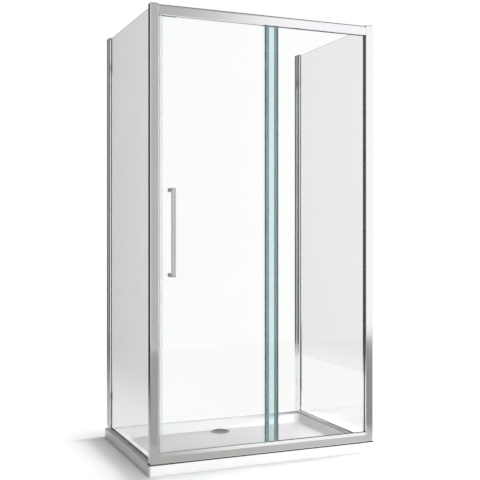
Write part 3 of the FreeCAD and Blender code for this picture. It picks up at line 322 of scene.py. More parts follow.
# ---------------------------------------------------------------- shared effects
def new_group(name, inputs, outputs):
    """An empty node group with named sockets: inputs and outputs are (name, kind, start value)."""
    group = bpy.data.node_groups.new(name, "ShaderNodeTree")
    for direction, sockets in (("INPUT", inputs), ("OUTPUT", outputs)):
        for label, kind, start in sockets:
            socket = group.interface.new_socket(name=label, in_out=direction, socket_type="NodeSocket" + kind)
            if start is not None:
                socket.default_value = start
    return group, group.nodes.new("NodeGroupInput").outputs, group.nodes.new("NodeGroupOutput")


def make_extrusion_lines():
    """Fine lines along an extruded or drawn length: noise that is stretched along the length, as height and
    as a change of roughness, with broad soft patches where the polish is deeper."""
    group, given, out = new_group(
        "extrusion_lines",
        [("Position", "Vector", None), ("Stretch", "Vector", (1, 1, 1)), ("Depth", "Float", 0.1),
         ("Smooth", "Float", 0.06), ("Rough", "Float", 0.2)],
        [("Roughness", "Float", None), ("Normal", "Vector", None), ("Patch", "Float", None)])
    place = add_node(group, "Mapping", {"Vector": given["Position"], "Scale": given["Stretch"]})
    lines = add_node(group, "TexNoise", {"Vector": place.outputs[0], "Scale": 1.0, "Detail": 2.0,
                                         "Roughness": 0.5})
    patch = add_node(group, "TexNoise", {"Vector": given["Position"], "Scale": 3.2, "Detail": 2.0})
    both = calc(group, "MULTIPLY", lines.outputs["Fac"], patch.outputs["Fac"])
    bump = add_node(group, "Bump", {"Strength": given["Depth"], "Distance": 0.0002,
                                    "Height": lines.outputs["Fac"]})
    feed(group, out, {"Roughness": spread(group, both, 0.1, 0.45, given["Smooth"], given["Rough"]),
                      "Normal": bump.outputs[0], "Patch": patch.outputs["Fac"]})
    return group


def make_soft_patches():
    """Broad uneven patches of layered noise, for polish, film and tint that vary over a surface."""
    group, given, out = new_group(
        "soft_patches",
        [("Position", "Vector", None), ("Scale", "Float", 4.0), ("Low", "Float", 0.0),
         ("High", "Float", 1.0)],
        [("Value", "Float", None)])
    noise = add_node(group, "TexNoise", {"Vector": given["Position"], "Scale": given["Scale"], "Detail": 3.0,
                                         "Roughness": 0.55})
    feed(group, out, {"Value": spread(group, noise.outputs["Fac"], 0.3, 0.7, given["Low"], given["High"])})
    return group


def make_fine_grain():
    """Very fine moulded grain: small cells as height, and noise as a mask for the odd darker fleck."""
    group, given, out = new_group(
        "fine_grain",
        [("Position", "Vector", None), ("Scale", "Float", 900.0), ("Depth", "Float", 0.1),
         ("Flecks", "Float", 0.1)],
        [("Normal", "Vector", None), ("Mask", "Float", None)])
    cells = add_node(group, "TexVoronoi", {"Vector": given["Position"], "Scale": given["Scale"]})
    noise = add_node(group, "TexNoise", {"Vector": given["Position"], "Scale": given["Scale"], "Detail": 2.0})
    bump = add_node(group, "Bump", {"Strength": given["Depth"], "Distance": 0.0001,
                                    "Height": cells.outputs["Distance"]})
    feed(group, out, {"Normal": bump.outputs[0],
                      "Mask": spread(group, noise.outputs["Fac"], 0.62, 0.74, 0.0, given["Flecks"])})
    return group


# A stud has this much less shade than the ground between the studs.
STUD_LIGHTER = 0.45


def make_antislip_floor():
    """The anti-slip zone of a basin: inside a level box and below a height, small round studs at the middles
    of scattered cells stand up from a duller ground. The shade is 1 between the studs and less on them."""
    group, given, out = new_group(
        "antislip_floor",
        [("Position", "Vector", None), ("Middle", "Vector", (0, 0, 0)), ("Half", "Vector", (1, 1, 1)),
         ("Top", "Float", 0.02), ("Scale", "Float", 230.0), ("Depth", "Float", 0.25),
         ("Normal", "Vector", None)],
        [("Mask", "Float", None), ("Shade", "Float", None), ("Normal", "Vector", None)])
    away = vector_calc(group, "ABSOLUTE", vector_calc(group, "SUBTRACT", given["Position"], given["Middle"]))
    beyond = vector_calc(group, "SUBTRACT", away, given["Half"])
    widest = calc(group, "MAXIMUM", split(group, beyond, ACROSS), split(group, beyond, INWARD))
    inside = calc(group, "LESS_THAN", widest, 0.0)
    depth = calc(group, "SUBTRACT", given["Top"], split(group, given["Position"], UPRIGHT))
    mask = calc(group, "MULTIPLY", inside, spread(group, depth, 0.0, 0.0005))
    cells = add_node(group, "TexVoronoi", {"Vector": given["Position"], "Scale": given["Scale"]})
    stud = spread(group, cells.outputs["Distance"], 0.18, 0.48, 1.0, 0.0, curve="SMOOTHSTEP")
    ground = calc(group, "MULTIPLY_ADD", stud, -STUD_LIGHTER, 1.0)
    bump = add_node(group, "Bump", {"Strength": given["Depth"], "Distance": 0.0004, "Normal": given["Normal"],
                                    "Height": calc(group, "MULTIPLY", stud, mask)})
    feed(group, out, {"Mask": mask, "Shade": calc(group, "MULTIPLY", ground, mask),
                      "Normal": bump.outputs[0]})
    return group


LINES = make_extrusion_lines()
PATCHES = make_soft_patches()
GRAIN = make_fine_grain()
ANTISLIP = make_antislip_floor()


# ---------------------------------------------------------------- materials
def new_material(name, **plain):
    """A material with one Principled shader whose plain values are set, and the object's coordinates."""
    material = bpy.data.materials.new(name)
    material.use_nodes = True
    tree = material.node_tree
    shader = tree.nodes["Principled BSDF"]
    for key, setting in plain.items():
        shader.inputs[key.replace("_", " ")].default_value = setting
    return material, tree, shader, tree.nodes.new("ShaderNodeTexCoord").outputs["Object"]


def patches(tree, where, scale, low=0.0, high=1.0):
    """A value that wanders between low and high over the surface."""
    return use_group(tree, PATCHES, {"Position": where, "Scale": scale, "Low": low, "High": high}).outputs[0]


# Scale of the lines in each direction: long along the length, fine across it. A fleck in moulded plastic
# multiplies the colour by the shade.
LONG, FINE = 1.5, 700
STRETCH = {ACROSS: (LONG, FINE, FINE), INWARD: (FINE, LONG, FINE), UPRIGHT: (FINE, FINE, LONG)}
FLECK_SHADE = (0.45, 0.45, 0.46)


def metal(name, along, dark, light, gloss, depth):
    """Metal with lines along its length: colour and roughness follow the lines and the patches of the polish,
    and the roughness lies between the two values of the gloss."""
    material, tree, shader, where = new_material(name, Metallic=1.0)
    lines = use_group(tree, LINES, {"Position": where, "Stretch": STRETCH[along], "Depth": depth,
                                    "Smooth": gloss[0], "Rough": gloss[1]})
    feed(tree, shader, {"Base Color": tint(tree, lines.outputs["Patch"], dark, light),
                        "Roughness": lines.outputs["Roughness"], "Normal": lines.outputs["Normal"]})
    return material


def moulded(name, dark, light, gloss, grain=900.0, depth=0.15, flecks=0.06, **plain):
    """Moulded plastic, rubber or acrylic: soft patches in colour and gloss, fine grain and a few flecks."""
    material, tree, shader, where = new_material(name, **plain)
    base = tint(tree, patches(tree, where, 6.0), dark, light)
    grained = use_group(tree, GRAIN, {"Position": where, "Scale": grain, "Depth": depth, "Flecks": flecks})
    feed(tree, shader, {"Base Color": shaded(tree, grained.outputs["Mask"], base, FLECK_SHADE),
                        "Roughness": patches(tree, where, 11.0, *gloss), "Normal": grained.outputs["Normal"]})
    return material


def acrylic(name, dark, light, gloss, floor_shade, floor_dullness):
    """Glossy acrylic with an anti-slip floor between the basin's slopes: darker, duller and studded."""
    material = moulded(name, dark, light, gloss, grain=420.0, depth=0.04, flecks=0.10)
    tree = material.node_tree
    shader = tree.nodes["Principled BSDF"]
    colour, polish, normal = [shader.inputs[key].links[0].from_socket
                              for key in ("Base Color", "Roughness", "Normal")]
    middle, half = (FLOOR_LOW + FLOOR_HIGH) / 2 * MM, ((FLOOR_HIGH - FLOOR_LOW) / 2 + ANTISLIP_SPARE) * MM
    floor = use_group(tree, ANTISLIP, {
        "Position": tree.nodes.new("ShaderNodeTexCoord").outputs["Object"], "Middle": (*middle, 0),
        "Half": (*half, 1), "Top": (FLOOR_Z + ANTISLIP_RISE) * MM, "Normal": normal})
    dulled = calc(tree, "MULTIPLY_ADD", floor.outputs["Mask"], floor_dullness, polish)
    feed(tree, shader, {"Base Color": shaded(tree, floor.outputs["Shade"], colour, floor_shade),
                        "Roughness": dulled, "Normal": floor.outputs["Normal"]})
    return material


def glass(name, dark, light, gloss, transmission=1.0, shadow=(0.965, 0.98, 0.977), flap=None):
    """Clear glass or clear soft plastic whose tint and polish vary a little over the sheet. It tints the
    shadow rays that it lets through, so that it casts only a faint shadow. A flap (from, to, colour) along
    the front is tinted: there the clear flap of a seal lies on the pane."""
    material, tree, shader, where = new_material(name, Metallic=0.0, IOR=1.5,
                                                 Transmission_Weight=transmission)
    colour = tint(tree, patches(tree, where, 2.5), dark, light)
    if flap:
        low, high, shade = flap
        inside = calc(tree, "COMPARE", split(tree, where, ACROSS), (low + high) / 2, (high - low) / 2)
        colour = shaded(tree, inside, colour, shade)
    feed(tree, shader, {"Base Color": colour, "Roughness": patches(tree, where, 9.0, *gloss)})
    faint = add_node(tree, "BsdfTransparent", {"Color": (*shadow, 1)})
    surface(tree, add_node(tree, "LightPath").outputs["Is Shadow Ray"], shader, faint)
    return material


ALUMINIUM = {along: metal("polished_aluminium_" + word, along, (0.86, 0.865, 0.87), (0.92, 0.925, 0.93),
                          gloss=(0.06, 0.14), depth=0.02)
             for along, word in ((ACROSS, "rails"), (INWARD, "sills"), (UPRIGHT, "uprights"))}
HANDLE_METAL = metal("handle_satin_metal", UPRIGHT, (0.86, 0.84, 0.875), (0.92, 0.90, 0.935),
                     gloss=(0.24, 0.34), depth=0.12)
CHROME = metal("cover_chrome", ACROSS, (0.58, 0.59, 0.60), (0.66, 0.67, 0.68), gloss=(0.04, 0.10), depth=0.02)
STEEL = metal("stainless_steel", ACROSS, (0.55, 0.56, 0.57), (0.66, 0.67, 0.68),
              gloss=(0.18, 0.34), depth=0.2)
SCREW_STEEL = metal("screw_steel", INWARD, (0.52, 0.53, 0.54), (0.64, 0.65, 0.66),
                    gloss=(0.14, 0.28), depth=0.15)
ACRYLIC = acrylic("tray_acrylic", (0.885, 0.87, 0.885), (0.925, 0.91, 0.92), gloss=(0.10, 0.18),
                  floor_shade=(0.705, 0.675, 0.69), floor_dullness=0.2)
GREY_CAP = moulded("grey_cap", (0.24, 0.25, 0.26), (0.31, 0.32, 0.33), gloss=(0.22, 0.36))
# Grey infill darkened nearly to black: painted shade of the gaps under the door and under the top rail.
INFILL_WITH_PAINTED_GAP_SHADE = moulded("infill_painted_gap_shade", (0.045, 0.055, 0.058), (0.07, 0.08, 0.083), gloss=(0.5, 0.65))
RUBBER = moulded("black_rubber", (0.018, 0.02, 0.021), (0.035, 0.038, 0.04), gloss=(0.45, 0.65))
NYLON = moulded("roller_nylon", (0.74, 0.74, 0.71), (0.82, 0.82, 0.79), gloss=(0.35, 0.5))
CLEAR = ((0.968, 0.98, 0.978), (0.98, 0.988, 0.986))
PANE = glass("clear_glass", *CLEAR, gloss=(0.0, 0.012))
OVERLAP = (box_of("fixed_glass")[0][0] * MM, box_of("door_glass")[1][0] * MM)
DOOR_PANE = glass("door_glass", *CLEAR, gloss=(0.0, 0.012), flap=(*OVERLAP, (0.66, 0.82, 0.82)))
PANE_EDGE = glass("glass_edge", (0.05, 0.12, 0.12), (0.09, 0.20, 0.19), gloss=(0.05, 0.14), transmission=0.4)
SEAL = glass("green_seal", (0.42, 0.58, 0.58), (0.52, 0.67, 0.67), gloss=(0.12, 0.24), transmission=0.75,
             shadow=(0.8, 0.86, 0.86))
SEAL_EDGE = glass("seal_edge", (0.06, 0.13, 0.13), (0.10, 0.19, 0.19), gloss=(0.2, 0.36), transmission=0.3,
                  shadow=(0.55, 0.6, 0.6))
MAGNET_SEAL = moulded("clear_magnet_seal", (0.70, 0.76, 0.76), (0.80, 0.85, 0.85),
                      gloss=(0.2, 0.32), Alpha=0.13)
GASKET_RUBBER = moulded("grey_gasket", (0.085, 0.09, 0.09), (0.12, 0.125, 0.125), gloss=(0.5, 0.65))


# ---------------------------------------------------------------- tray
def basin_shape(share):
    """Lowest corner, highest corner and corner radius of the basin at a share of the way down its slope: all
    run evenly from mouth to floor, and a little past them for shares under 0 or over 1."""
    return (MOUTH_LOW + (FLOOR_LOW - MOUTH_LOW) * share, MOUTH_HIGH + (FLOOR_HIGH - MOUTH_HIGH) * share,
            MOUTH_CORNER + (FLOOR_CORNER - MOUTH_CORNER) * share)


def basin_ring(share):
    """The points round the basin at a share of the way down its slope."""
    return rounded_rectangle(*basin_shape(share))


def basin_height(share):
    """Height down the slope: even, with the kink at the mouth and the one at the floor replaced by curves,
    depth * (share + bend)^2 / (4 * bend) for the mouth's bend and its twin at the floor."""
    depth = TRAY_HEIGHT - FLOOR_Z
    even = TRAY_HEIGHT - depth * share
    at_mouth = TRAY_HEIGHT - depth * (share + MOUTH_BEND) ** 2 / (4 * MOUTH_BEND)
    at_floor = FLOOR_Z + depth * (1 + FLOOR_BEND - share) ** 2 / (4 * FLOOR_BEND)
    return np.where(share < MOUTH_BEND, at_mouth, np.where(share > 1 - FLOOR_BEND, at_floor, even))


def share_at(points):
    """The share of the slope at level points: the one whose ring passes through the point. The distance
    outside a ring is |max(q, 0)| + min(max(q), 0) - radius with q = |point - middle| - half + radius, and the
    share lies where it turns from inside to outside."""
    outside = []
    for share in TRIED_SHARES:
        low, high, radius = basin_shape(share)
        corner = np.abs(points - (low + high) / 2) - (high - low) / 2 + radius
        beyond, within = np.linalg.norm(np.maximum(corner, 0), axis=-1), np.minimum(corner.max(-1), 0)
        outside.append(beyond + within - radius)
    outside = np.stack(outside)
    after = np.clip(np.argmax(outside > 0, axis=0), 1, len(TRIED_SHARES) - 1)
    inner, outer = (np.take_along_axis(outside, (after - k)[None], 0)[0] for k in (1, 0))
    step = TRIED_SHARES[1] - TRIED_SHARES[0]
    share = TRIED_SHARES[after - 1] + step * np.clip(-inner / (outer - inner), 0, 1)
    return np.where((outside > 0).any(0), share, TRIED_SHARES[-1])


def drain_ring(radius, like):
    """A circle round the drain, each point in the same direction as the matching point of another ring."""
    away = like - DRAIN
    return DRAIN + radius * away / np.linalg.norm(away, axis=1, keepdims=True)


def make_tray():
    """The tray as one closed skin of rings: underside, outer wall, rolled top edge, rim, basin and bore. From
    the foot of the slope the rings pass evenly into the drain's circle, each point at the slope's height."""
    half = np.array([TRAY_WIDTH, TRAY_DEPTH]) / 2
    rings = []

    def add(ring, z):
        rings.append(np.column_stack([ring, np.broadcast_to(z, len(ring))]))

    def outer(inset, z):
        add(rounded_rectangle(inset - half, half - inset, WALL_CORNER - min(inset, FLAT_RIM)), z)

    for radius, z in ((TUBE_RADIUS, SEAT_Z), (TUBE_RADIUS, RECESS_Z),
                      (SEAT_RADIUS, RECESS_Z), (SEAT_RADIUS, 0.0)):
        add(drain_ring(radius, basin_ring(1.0)), z)
    for inset, z in ((1.5, 0.0), (0.4, 0.4), (0.0, 1.5), (0.0, 10.0), (0.0, 20.0), (0.0, 30.0), (0.0, 40.0)):
        outer(inset, z)
    for turn in np.linspace(0, math.pi / 2, 7):
        outer(EDGE_ROLL * (1 - math.cos(turn)), TRAY_HEIGHT - EDGE_ROLL + EDGE_ROLL * math.sin(turn))
    outer(FLAT_RIM, TRAY_HEIGHT)
    shares = np.concatenate([np.linspace(-MOUTH_BEND, MOUTH_BEND, 10), np.linspace(0.2, 0.8, 7)])
    for share, z in zip(shares, basin_height(shares)):
        add(basin_ring(share), z)
    inner = basin_ring(shares[-1])
    brim = drain_ring(BRIM_RADIUS, inner)
    for way in np.concatenate([np.linspace(0.004, 0.05, 12), np.linspace(0.09, 1.0, 24)]):
        ring = inner * (1 - way) + brim * way
        add(ring, basin_height(share_at(ring)))
    top = basin_height(share_at(brim))
    for radius, z in ((BRIM_RADIUS - 0.8, top), (BRIM_RADIUS - 1.6, top - 0.3), (SEAT_RADIUS, top - 1.0),
                      (SEAT_RADIUS, SEAT_Z)):
        add(drain_ring(radius, inner), z)
    points = np.stack(rings)
    faces = grid_faces(len(rings), points.shape[1], closed_rows=True)
    tray = put_mesh("tray_skin", points.reshape(-1, 3), faces)
    smooth_by_angle(tray, degrees=40)
    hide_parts("tray")
    finish(tray, "enclosure", "tray_acrylic", ACRYLIC)


# ---------------------------------------------------------------- waste
def make_cover():
    """Domed cover of the waste: its height falls from the middle as 1 - (radius / rim)^2.6, the rim is rolled
    and the stem stands in the hair trap."""
    share = np.linspace(0, 0.985, 22)
    rise = (COVER_RISE - COVER_EDGE) * (1 - share ** COVER_POWER)
    dome = np.column_stack([COVER_RADIUS * share, COVER_LOW + COVER_EDGE + rise])
    rim = [(COVER_RADIUS - inset, COVER_LOW + height)
           for inset, height in ((0.15, 1.5), (0.0, 1.0), (0.0, 0.4), (0.4, 0.0), (1.4, 0.0))]
    under = [(COVER_RADIUS * part, COVER_LOW + height)
             for part, height in ((0.9, 1.6), (0.74, 3.6), (0.5, 5.2), (0.2, 5.6))]
    stem = [(STEM_RADIUS, COVER_LOW + 5.6), (STEM_RADIUS, STEM_FOOT + 0.4), (STEM_RADIUS - 0.4, STEM_FOOT),
            (0.0, STEM_FOOT)]
    profile = np.concatenate([dome, rim, under, stem])[::-1]
    cover = turned("waste_cover_dome", (*DRAIN, 0.0), profile, around=96)
    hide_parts("waste_cover")
    finish(cover, "waste_lift", "chrome", CHROME)


def make_waste():
    """Flange, tube, nut, gasket and hair trap, with their edges softened."""
    dress("waste_body", "enclosure", "chrome", CHROME, width=0.4)
    dress("waste_nut", "enclosure", "roller_nylon", NYLON, width=0.8)
    dress("waste_gasket", "enclosure", "black_rubber", RUBBER, width=0.2)
    dress("hair_trap", "waste_lift", "stainless_steel", STEEL, width=0.3)


# ---------------------------------------------------------------- frame
def make_frame():
    """Posts, rails, sills and wall profiles of polished extrusion, their caps, corner joints, and infills
    painted dark for the shade in the gaps along the rails.
    """
    for node, along in (("left_post", UPRIGHT), ("right_post", UPRIGHT),
                        ("top_rail", ACROSS), ("bottom_rail", ACROSS)):
        dress(node, "enclosure", "polished_aluminium", ALUMINIUM[along], width=0.5, segments=3)
    for side in SIDES:
        dress(side + "_side_sill", "enclosure", "polished_aluminium", ALUMINIUM[INWARD],
              width=0.5, segments=3)
        for part in ("_wall_channel", "_glass_profile"):
            dress(side + part, "enclosure", "polished_aluminium", ALUMINIUM[UPRIGHT], width=0.4)
        dress(side + "_profile_cap", "enclosure", "grey_cap", GREY_CAP, width=0.3)
        dress(side + "_post_cap", "enclosure", "grey_cap", GREY_CAP, width=0.5, segments=3)
    # The infills' near-black is painted shade for the gaps along the bottom and top rails.
    for node in ("bottom_infill", "top_infill"):
        dress(node, "enclosure", "grey_cap", INFILL_WITH_PAINTED_GAP_SHADE, width=0.2)
    dress("screw_caps", "enclosure", "grey_cap", GREY_CAP, width=0.2)
    dress("corner_blocks", "enclosure", "polished_aluminium", ALUMINIUM[ACROSS], width=0.3)
    dress("frame_screws", "enclosure", "stainless_steel", SCREW_STEEL, width=0.3)


# ---------------------------------------------------------------- glass
def mark_faces(piece, chosen):
    """The chosen faces take the piece's second material, and the others keep the first."""
    piece.data.polygons.foreach_set("material_index", chosen.astype(int))


def make_glass():
    """Toughened sheets with ground and polished edges, which look green because light has a long way through
    them. A face belongs to the edge if it doesn't look along the sheet's thickness."""
    for node, body, sheet in (("fixed_glass", "enclosure", PANE), ("left_side_glass", "enclosure", PANE),
                              ("right_side_glass", "enclosure", PANE), ("door_glass", "door", DOOR_PANE)):
        pane = dress(node, body, "clear_glass", sheet, PANE_EDGE, width=0.7)
        thickness = np.ptp(points_of(pane.data), axis=0).argmin()
        mark_faces(pane, np.abs(normals_of(pane.data)[:, thickness]) < LOOKS_ALONG)
        pane.modifiers["soft_edges"].material = 1


# ---------------------------------------------------------------- seals
def make_bead_painting_shadow_line():
    """The black bead between frame and tray, whose black also paints the shadow line there: a quarter-round,
    height = size * sqrt(1 - (out / size)^2), that runs along the frame's front and round its two corners."""
    low, high = box_of("frame_bead")
    front, sides = box_of("left_post")[0][1], high[0] - BEAD_SOLID
    turn = np.linspace(0, math.pi / 2, 6)[1:]
    section = [(-BEAD_ROOT, 0.0), (BEAD_SIZE, 0.0)]
    section += [(BEAD_SIZE * math.cos(a), BEAD_SIZE * math.sin(a)) for a in turn] + [(-BEAD_ROOT, BEAD_SIZE)]
    back, base = high[1], low[2]
    path = [(-sides, back, base), (-sides, front, base), (sides, front, base), (sides, back, base)]
    bead = swept("frame_bead_painted_shadow_line", path, section)
    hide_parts("frame_bead")
    # Black rubber here also paints the shadow line between frame and tray.
    finish(bead, "enclosure", "black_rubber", RUBBER)


def make_seals():
    """Gaskets in the pockets, the bead whose black paints the shadow line under the frame, seals on the free
    edges and the magnetic pair. The faces of an edge seal that look along the front are dark, because light
    has a long way through it there."""
    for node in ("fixed_glass_gasket", "left_side_gasket", "right_side_gasket"):
        dress(node, "enclosure", "black_rubber", GASKET_RUBBER, width=0.2, segments=1)
    make_bead_painting_shadow_line()
    for node, body in (("fixed_glass_seal", "enclosure"), ("door_overlap_seal", "door")):
        seal = dress(node, body, "clear_seal", SEAL, SEAL_EDGE, width=0.25)
        mark_faces(seal, np.abs(normals_of(seal.data)[:, 0]) > LOOKS_ALONG)
    for node, body in (("post_magnet_seal", "enclosure"), ("door_magnet_seal", "door")):
        dress(node, body, "clear_seal", MAGNET_SEAL, width=0.25)
    dress("door_bottom_seal", "door", "clear_seal", SEAL_EDGE, width=0.25)


# ---------------------------------------------------------------- handle
def make_handle():
    """The pull of flat bar with its washers, screws and caps."""
    dress("door_handle", "door", "chrome", HANDLE_METAL, width=1.2, segments=4)
    dress("handle_washers", "door", "black_rubber", RUBBER, width=0.2)
    dress("handle_screws", "door", "stainless_steel", SCREW_STEEL, width=0.3)
    dress("handle_caps", "door", "chrome", CHROME, width=0.8, segments=3)


# ---------------------------------------------------------------- hangers, wheels and guides
def make_wheel(node):
    """A grooved wheel on a bored hub, with a recessed web on both faces and a round-edged rim. The groove is
    half an ellipse in section: its floor's radius is rim - depth * sqrt(1 - (along / half width)^2)."""
    low, high = box_of(node)
    centre, half, rim = (low + high) / 2, (high[1] - low[1]) / 2, (high[2] - low[2]) / 2
    groove = [(rim - GROOVE_DEPTH * math.sqrt(1 - a * a), a * GROOVE_WIDTH / 2)
              for a in np.linspace(-1, 1, 9)]
    face = [(WHEEL_BORE, 0.0), (WHEEL_HUB - 0.3, 0.0), (WHEEL_HUB, 0.3), (WHEEL_HUB + 0.3, 0.6),
            (rim - 2.0, 0.6), (rim - 1.6, 0.2), (rim - 0.9, 0.0), (rim - 0.3, 0.15), (rim, 0.6)]
    near = [(radius, -half + depth) for radius, depth in face]
    far = [(radius, half - depth) for radius, depth in face[::-1]]
    wheel = turned(node + "_rim", centre, near + groove + far, axis=INWARD, around=64, bored=True)
    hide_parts(node)
    finish(wheel, node, "roller_nylon", NYLON)


def make_running_gear():
    """Hanger plates, bolts, axles, grooved wheels, end stops, bottom guides and their rollers."""
    for side in SIDES:
        dress(side + "_hanger", "door", "stainless_steel", STEEL, width=0.3)
        dress(side + "_guide", "door", "roller_nylon", NYLON, width=0.3)
        dress(side + "_guide_roller", side + "_guide_roller", "roller_nylon", NYLON, width=0.4)
        dress(side + "_end_stop", "enclosure", "black_rubber", RUBBER, width=0.4)
        for number in (1, 2):
            make_wheel(f"{side}_wheel_{number}")
    for node in ("hanger_bolts", "wheel_axles"):
        dress(node, "door", "stainless_steel", STEEL, width=0.3)


def make_wall_screws():
    """Screws that hold the glass profiles in the wall channels."""
    for side in SIDES:
        dress(side + "_profile_screws", "enclosure", "stainless_steel", SCREW_STEEL, width=0.3)


make_tray()
make_cover()
make_waste()
make_frame()
make_glass()
make_seals()
make_handle()
make_running_gear()
make_wall_screws()


# ---------------------------------------------------------------- floor, world, lights and camera
def seen_ray(tree):
    """1 for rays from the camera, through glass and off shiny faces, and 0 for light on matt faces."""
    path = add_node(tree, "LightPath").outputs
    seen = calc(tree, "MAXIMUM", path["Is Camera Ray"], path["Is Transmission Ray"])
    seen = calc(tree, "MAXIMUM", seen, path["Is Glossy Ray"])
    return calc(tree, "MULTIPLY", seen, calc(tree, "LESS_THAN", path["Diffuse Depth"], 0.5))


def make_floor():
    """A pale floor that keeps the shadow: beside the tray it is lit, and over the fade it passes into plain
    white for all rays that are seen."""
    corners = np.array([[-1, -1, 0], [1, -1, 0], [1, 1, 0], [-1, 1, 0]]) * STUDIO_REACH / MM
    floor = put_mesh("studio_floor", corners, [[0, 1, 2, 3]], smooth=False)
    material, tree, shader, where = new_material("pale_floor", Roughness=0.9, Specular_IOR_Level=0.0)
    mottle = tint(tree, patches(tree, where, 0.7), (0.88, 0.88, 0.885), (0.90, 0.90, 0.90))
    feed(tree, shader, {"Base Color": mottle})
    away = vector_calc(tree, "ABSOLUTE", where)
    away = vector_calc(tree, "SUBTRACT", away, (TRAY_WIDTH / 2 * MM, TRAY_DEPTH / 2 * MM, 0))
    away = vector_calc(tree, "MAXIMUM", away, (0, 0, 0))
    distance = add_node(tree, "VectorMath", {0: away}, operation="LENGTH").outputs["Value"]
    faded = spread(tree, distance, 0.0, STUDIO_FADE, curve="SMOOTHSTEP")
    white = add_node(tree, "Emission", {"Color": (1, 1, 1, 1), "Strength": 1.0})
    surface(tree, calc(tree, "MULTIPLY", faded, seen_ray(tree)), shader, white)
    floor.data.materials.append(material)


def make_world():
    """White behind all that is seen directly, through glass or in metal; a low soft light on matt faces."""
    world = bpy.data.worlds.new("studio")
    SCENE.world = world
    world.use_nodes = True
    tree = world.node_tree
    soft = tree.nodes["Background"]
    soft.inputs["Color"].default_value = (0.94, 0.97, 1.0, 1)
    soft.inputs["Strength"].default_value = 0.17
    white = add_node(tree, "Background", {"Color": (1, 1, 1, 1), "Strength": 1.0})
    surface(tree, seen_ray(tree), soft, white, output="World Output")


# The pictures in the metal: grey to white in front, warm grey on the floor, grey overhead, dark at the left.
# Each card lies between two opposite corners in metres, and its glow passes from the first colour to the
# second along the axis, over the span. The cards on the floor lie a little above it.
CARD_LIFT = 0.004
CARDS = (
    ("front_card", (-3.0, -4.2, -0.5), (6.0, -4.2, 4.2),
     (0.50, 0.50, 0.495), (1.04, 1.03, 1.06), ACROSS, (0.75, 2.1)),
    ("floor_card_near", (-2.5, -0.85, CARD_LIFT), (0.66, -0.40, CARD_LIFT),
     (0.46, 0.46, 0.435), (0.60, 0.60, 0.58), ACROSS, (-0.4, 0.5)),
    ("floor_card_corner", (0.66, -0.85, CARD_LIFT), (5.0, -0.40, CARD_LIFT),
     (0.58, 0.58, 0.56), (0.28, 0.28, 0.27), ACROSS, (0.68, 0.86)),
    ("floor_card_far", (-2.5, -4.0, CARD_LIFT), (5.0, -0.85, CARD_LIFT),
     (0.38, 0.38, 0.36), (0.30, 0.30, 0.29), ACROSS, (0.0, 1.0)),
    ("overhead_card", (-3.0, -1.35, 3.5), (4.0, 1.0, 3.5),
     (0.10, 0.105, 0.105), (0.14, 0.14, 0.145), ACROSS, (-0.2, 1.6)),
    ("overhead_front_card", (-1.0, -3.2, 3.52), (5.0, -1.4, 3.52),
     (0.46, 0.46, 0.46), (1.0, 1.0, 1.0), ACROSS, (0.5, 1.8)),
    ("left_card", (-4.5, 3.2, -0.5), (-0.75, 3.2, 5.0),
     (0.055, 0.06, 0.06), (0.10, 0.105, 0.105), UPRIGHT, (0.0, 3.0)),
    ("left_floor_card", (-4.5, -0.4, CARD_LIFT), (-0.6, 3.2, CARD_LIFT),
     (0.06, 0.065, 0.065), (0.55, 0.55, 0.55), ACROSS, (-1.3, -0.6)),
    ("back_card", (0.3, 4.6, 0.02), (5.5, 4.6, 9.0),
     (0.195, 0.195, 0.19), (0.36, 0.36, 0.352), UPRIGHT, (0.8, 4.5)))
SEEN_THROUGH_GLASS = ("left_card", "left_floor_card")


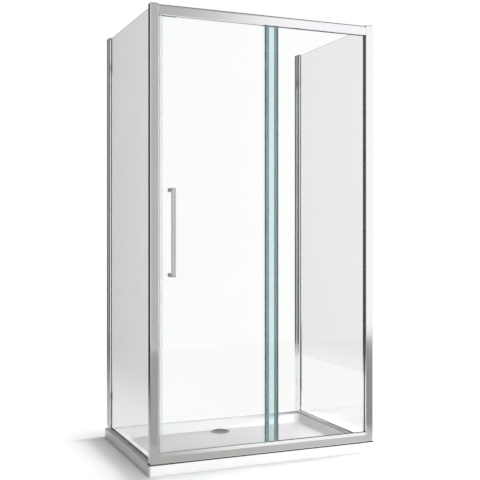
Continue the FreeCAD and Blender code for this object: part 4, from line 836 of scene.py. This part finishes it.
def make_card(name, low, high, start, end, axis, span):
    """A card that only shiny faces see: upright where both corners lie at one depth, and level where both lie
    at one height. It glows for rays that have already met a shiny face and is clear for all others, so that a
    card which shiny faces see through glass doesn't show in the glass itself."""
    (left, near, bottom), (right, far, top) = low, high
    corners = np.array([(left, near, bottom), (right, near, bottom), (right, far, top), (left, far, top)])
    card = put_mesh(name, corners / MM, [[0, 1, 2, 3]], smooth=False)
    material = bpy.data.materials.new(name)
    material.use_nodes = True
    tree = material.node_tree
    tree.nodes.remove(tree.nodes["Principled BSDF"])
    where = add_node(tree, "TexCoord").outputs["Object"]
    share = spread(tree, split(tree, where, axis), *span, curve="SMOOTHSTEP")
    glow = add_node(tree, "Emission", {"Color": tint(tree, share, start, end), "Strength": 1.0})
    mirrored = calc(tree, "GREATER_THAN", add_node(tree, "LightPath").outputs["Glossy Depth"], 0.5)
    surface(tree, mirrored, add_node(tree, "BsdfTransparent"), glow)
    card.data.materials.append(material)
    card.visible_camera = False
    card.visible_diffuse = False
    card.visible_transmission = name in SEEN_THROUGH_GLASS
    card.visible_shadow = False


# Soft rectangular lamps: centre, target, width and height in metres, and power in watts.
LAMPS = (("overhead_softbox", (0.0, -0.2, 3.6), (0.0, 0.0, 0.0), (2.4, 2.0), 44),
         ("right_softbox", (3.4, 0.4, 1.5), (0.1, 0.0, 0.1), (1.4, 1.4), 300),
         ("front_softbox", (0.4, -4.2, 1.3), (0.0, 0.0, 0.2), (2.0, 2.0), 106))


def make_lamp(name, centre, target, size, power):
    """A lamp at the centre, aimed at the target, that lights matt faces only."""
    data = bpy.data.lights.new(name, "AREA")
    data.shape = "RECTANGLE"
    data.size, data.size_y = size
    data.energy = power
    lamp = bpy.data.objects.new(name, data)
    SCENE.collection.objects.link(lamp)
    lamp.location = centre
    lamp.rotation_euler = (Vector(target) - Vector(centre)).to_track_quat("-Z", "Y").to_euler()
    lamp.visible_glossy = False
    lamp.visible_transmission = False


def make_camera():
    """The photograph's viewpoint, fitted to the enclosure's corners."""
    data = bpy.data.cameras.new("camera")
    camera = bpy.data.objects.new("camera", data)
    SCENE.collection.objects.link(camera)
    camera.location = (-1.6004, -3.8028, 1.0323)
    camera.rotation_euler = (math.radians(90), 0, math.radians(-22.555))
    data.lens = 63.80
    data.shift_x = 0.0184
    data.shift_y = -0.0185
    data.clip_end = 200
    SCENE.camera = camera


make_floor()
make_world()
for row in CARDS:
    make_card(*row)
for row in LAMPS:
    make_lamp(*row)
make_camera()
SCENE.view_settings.view_transform = "Standard"
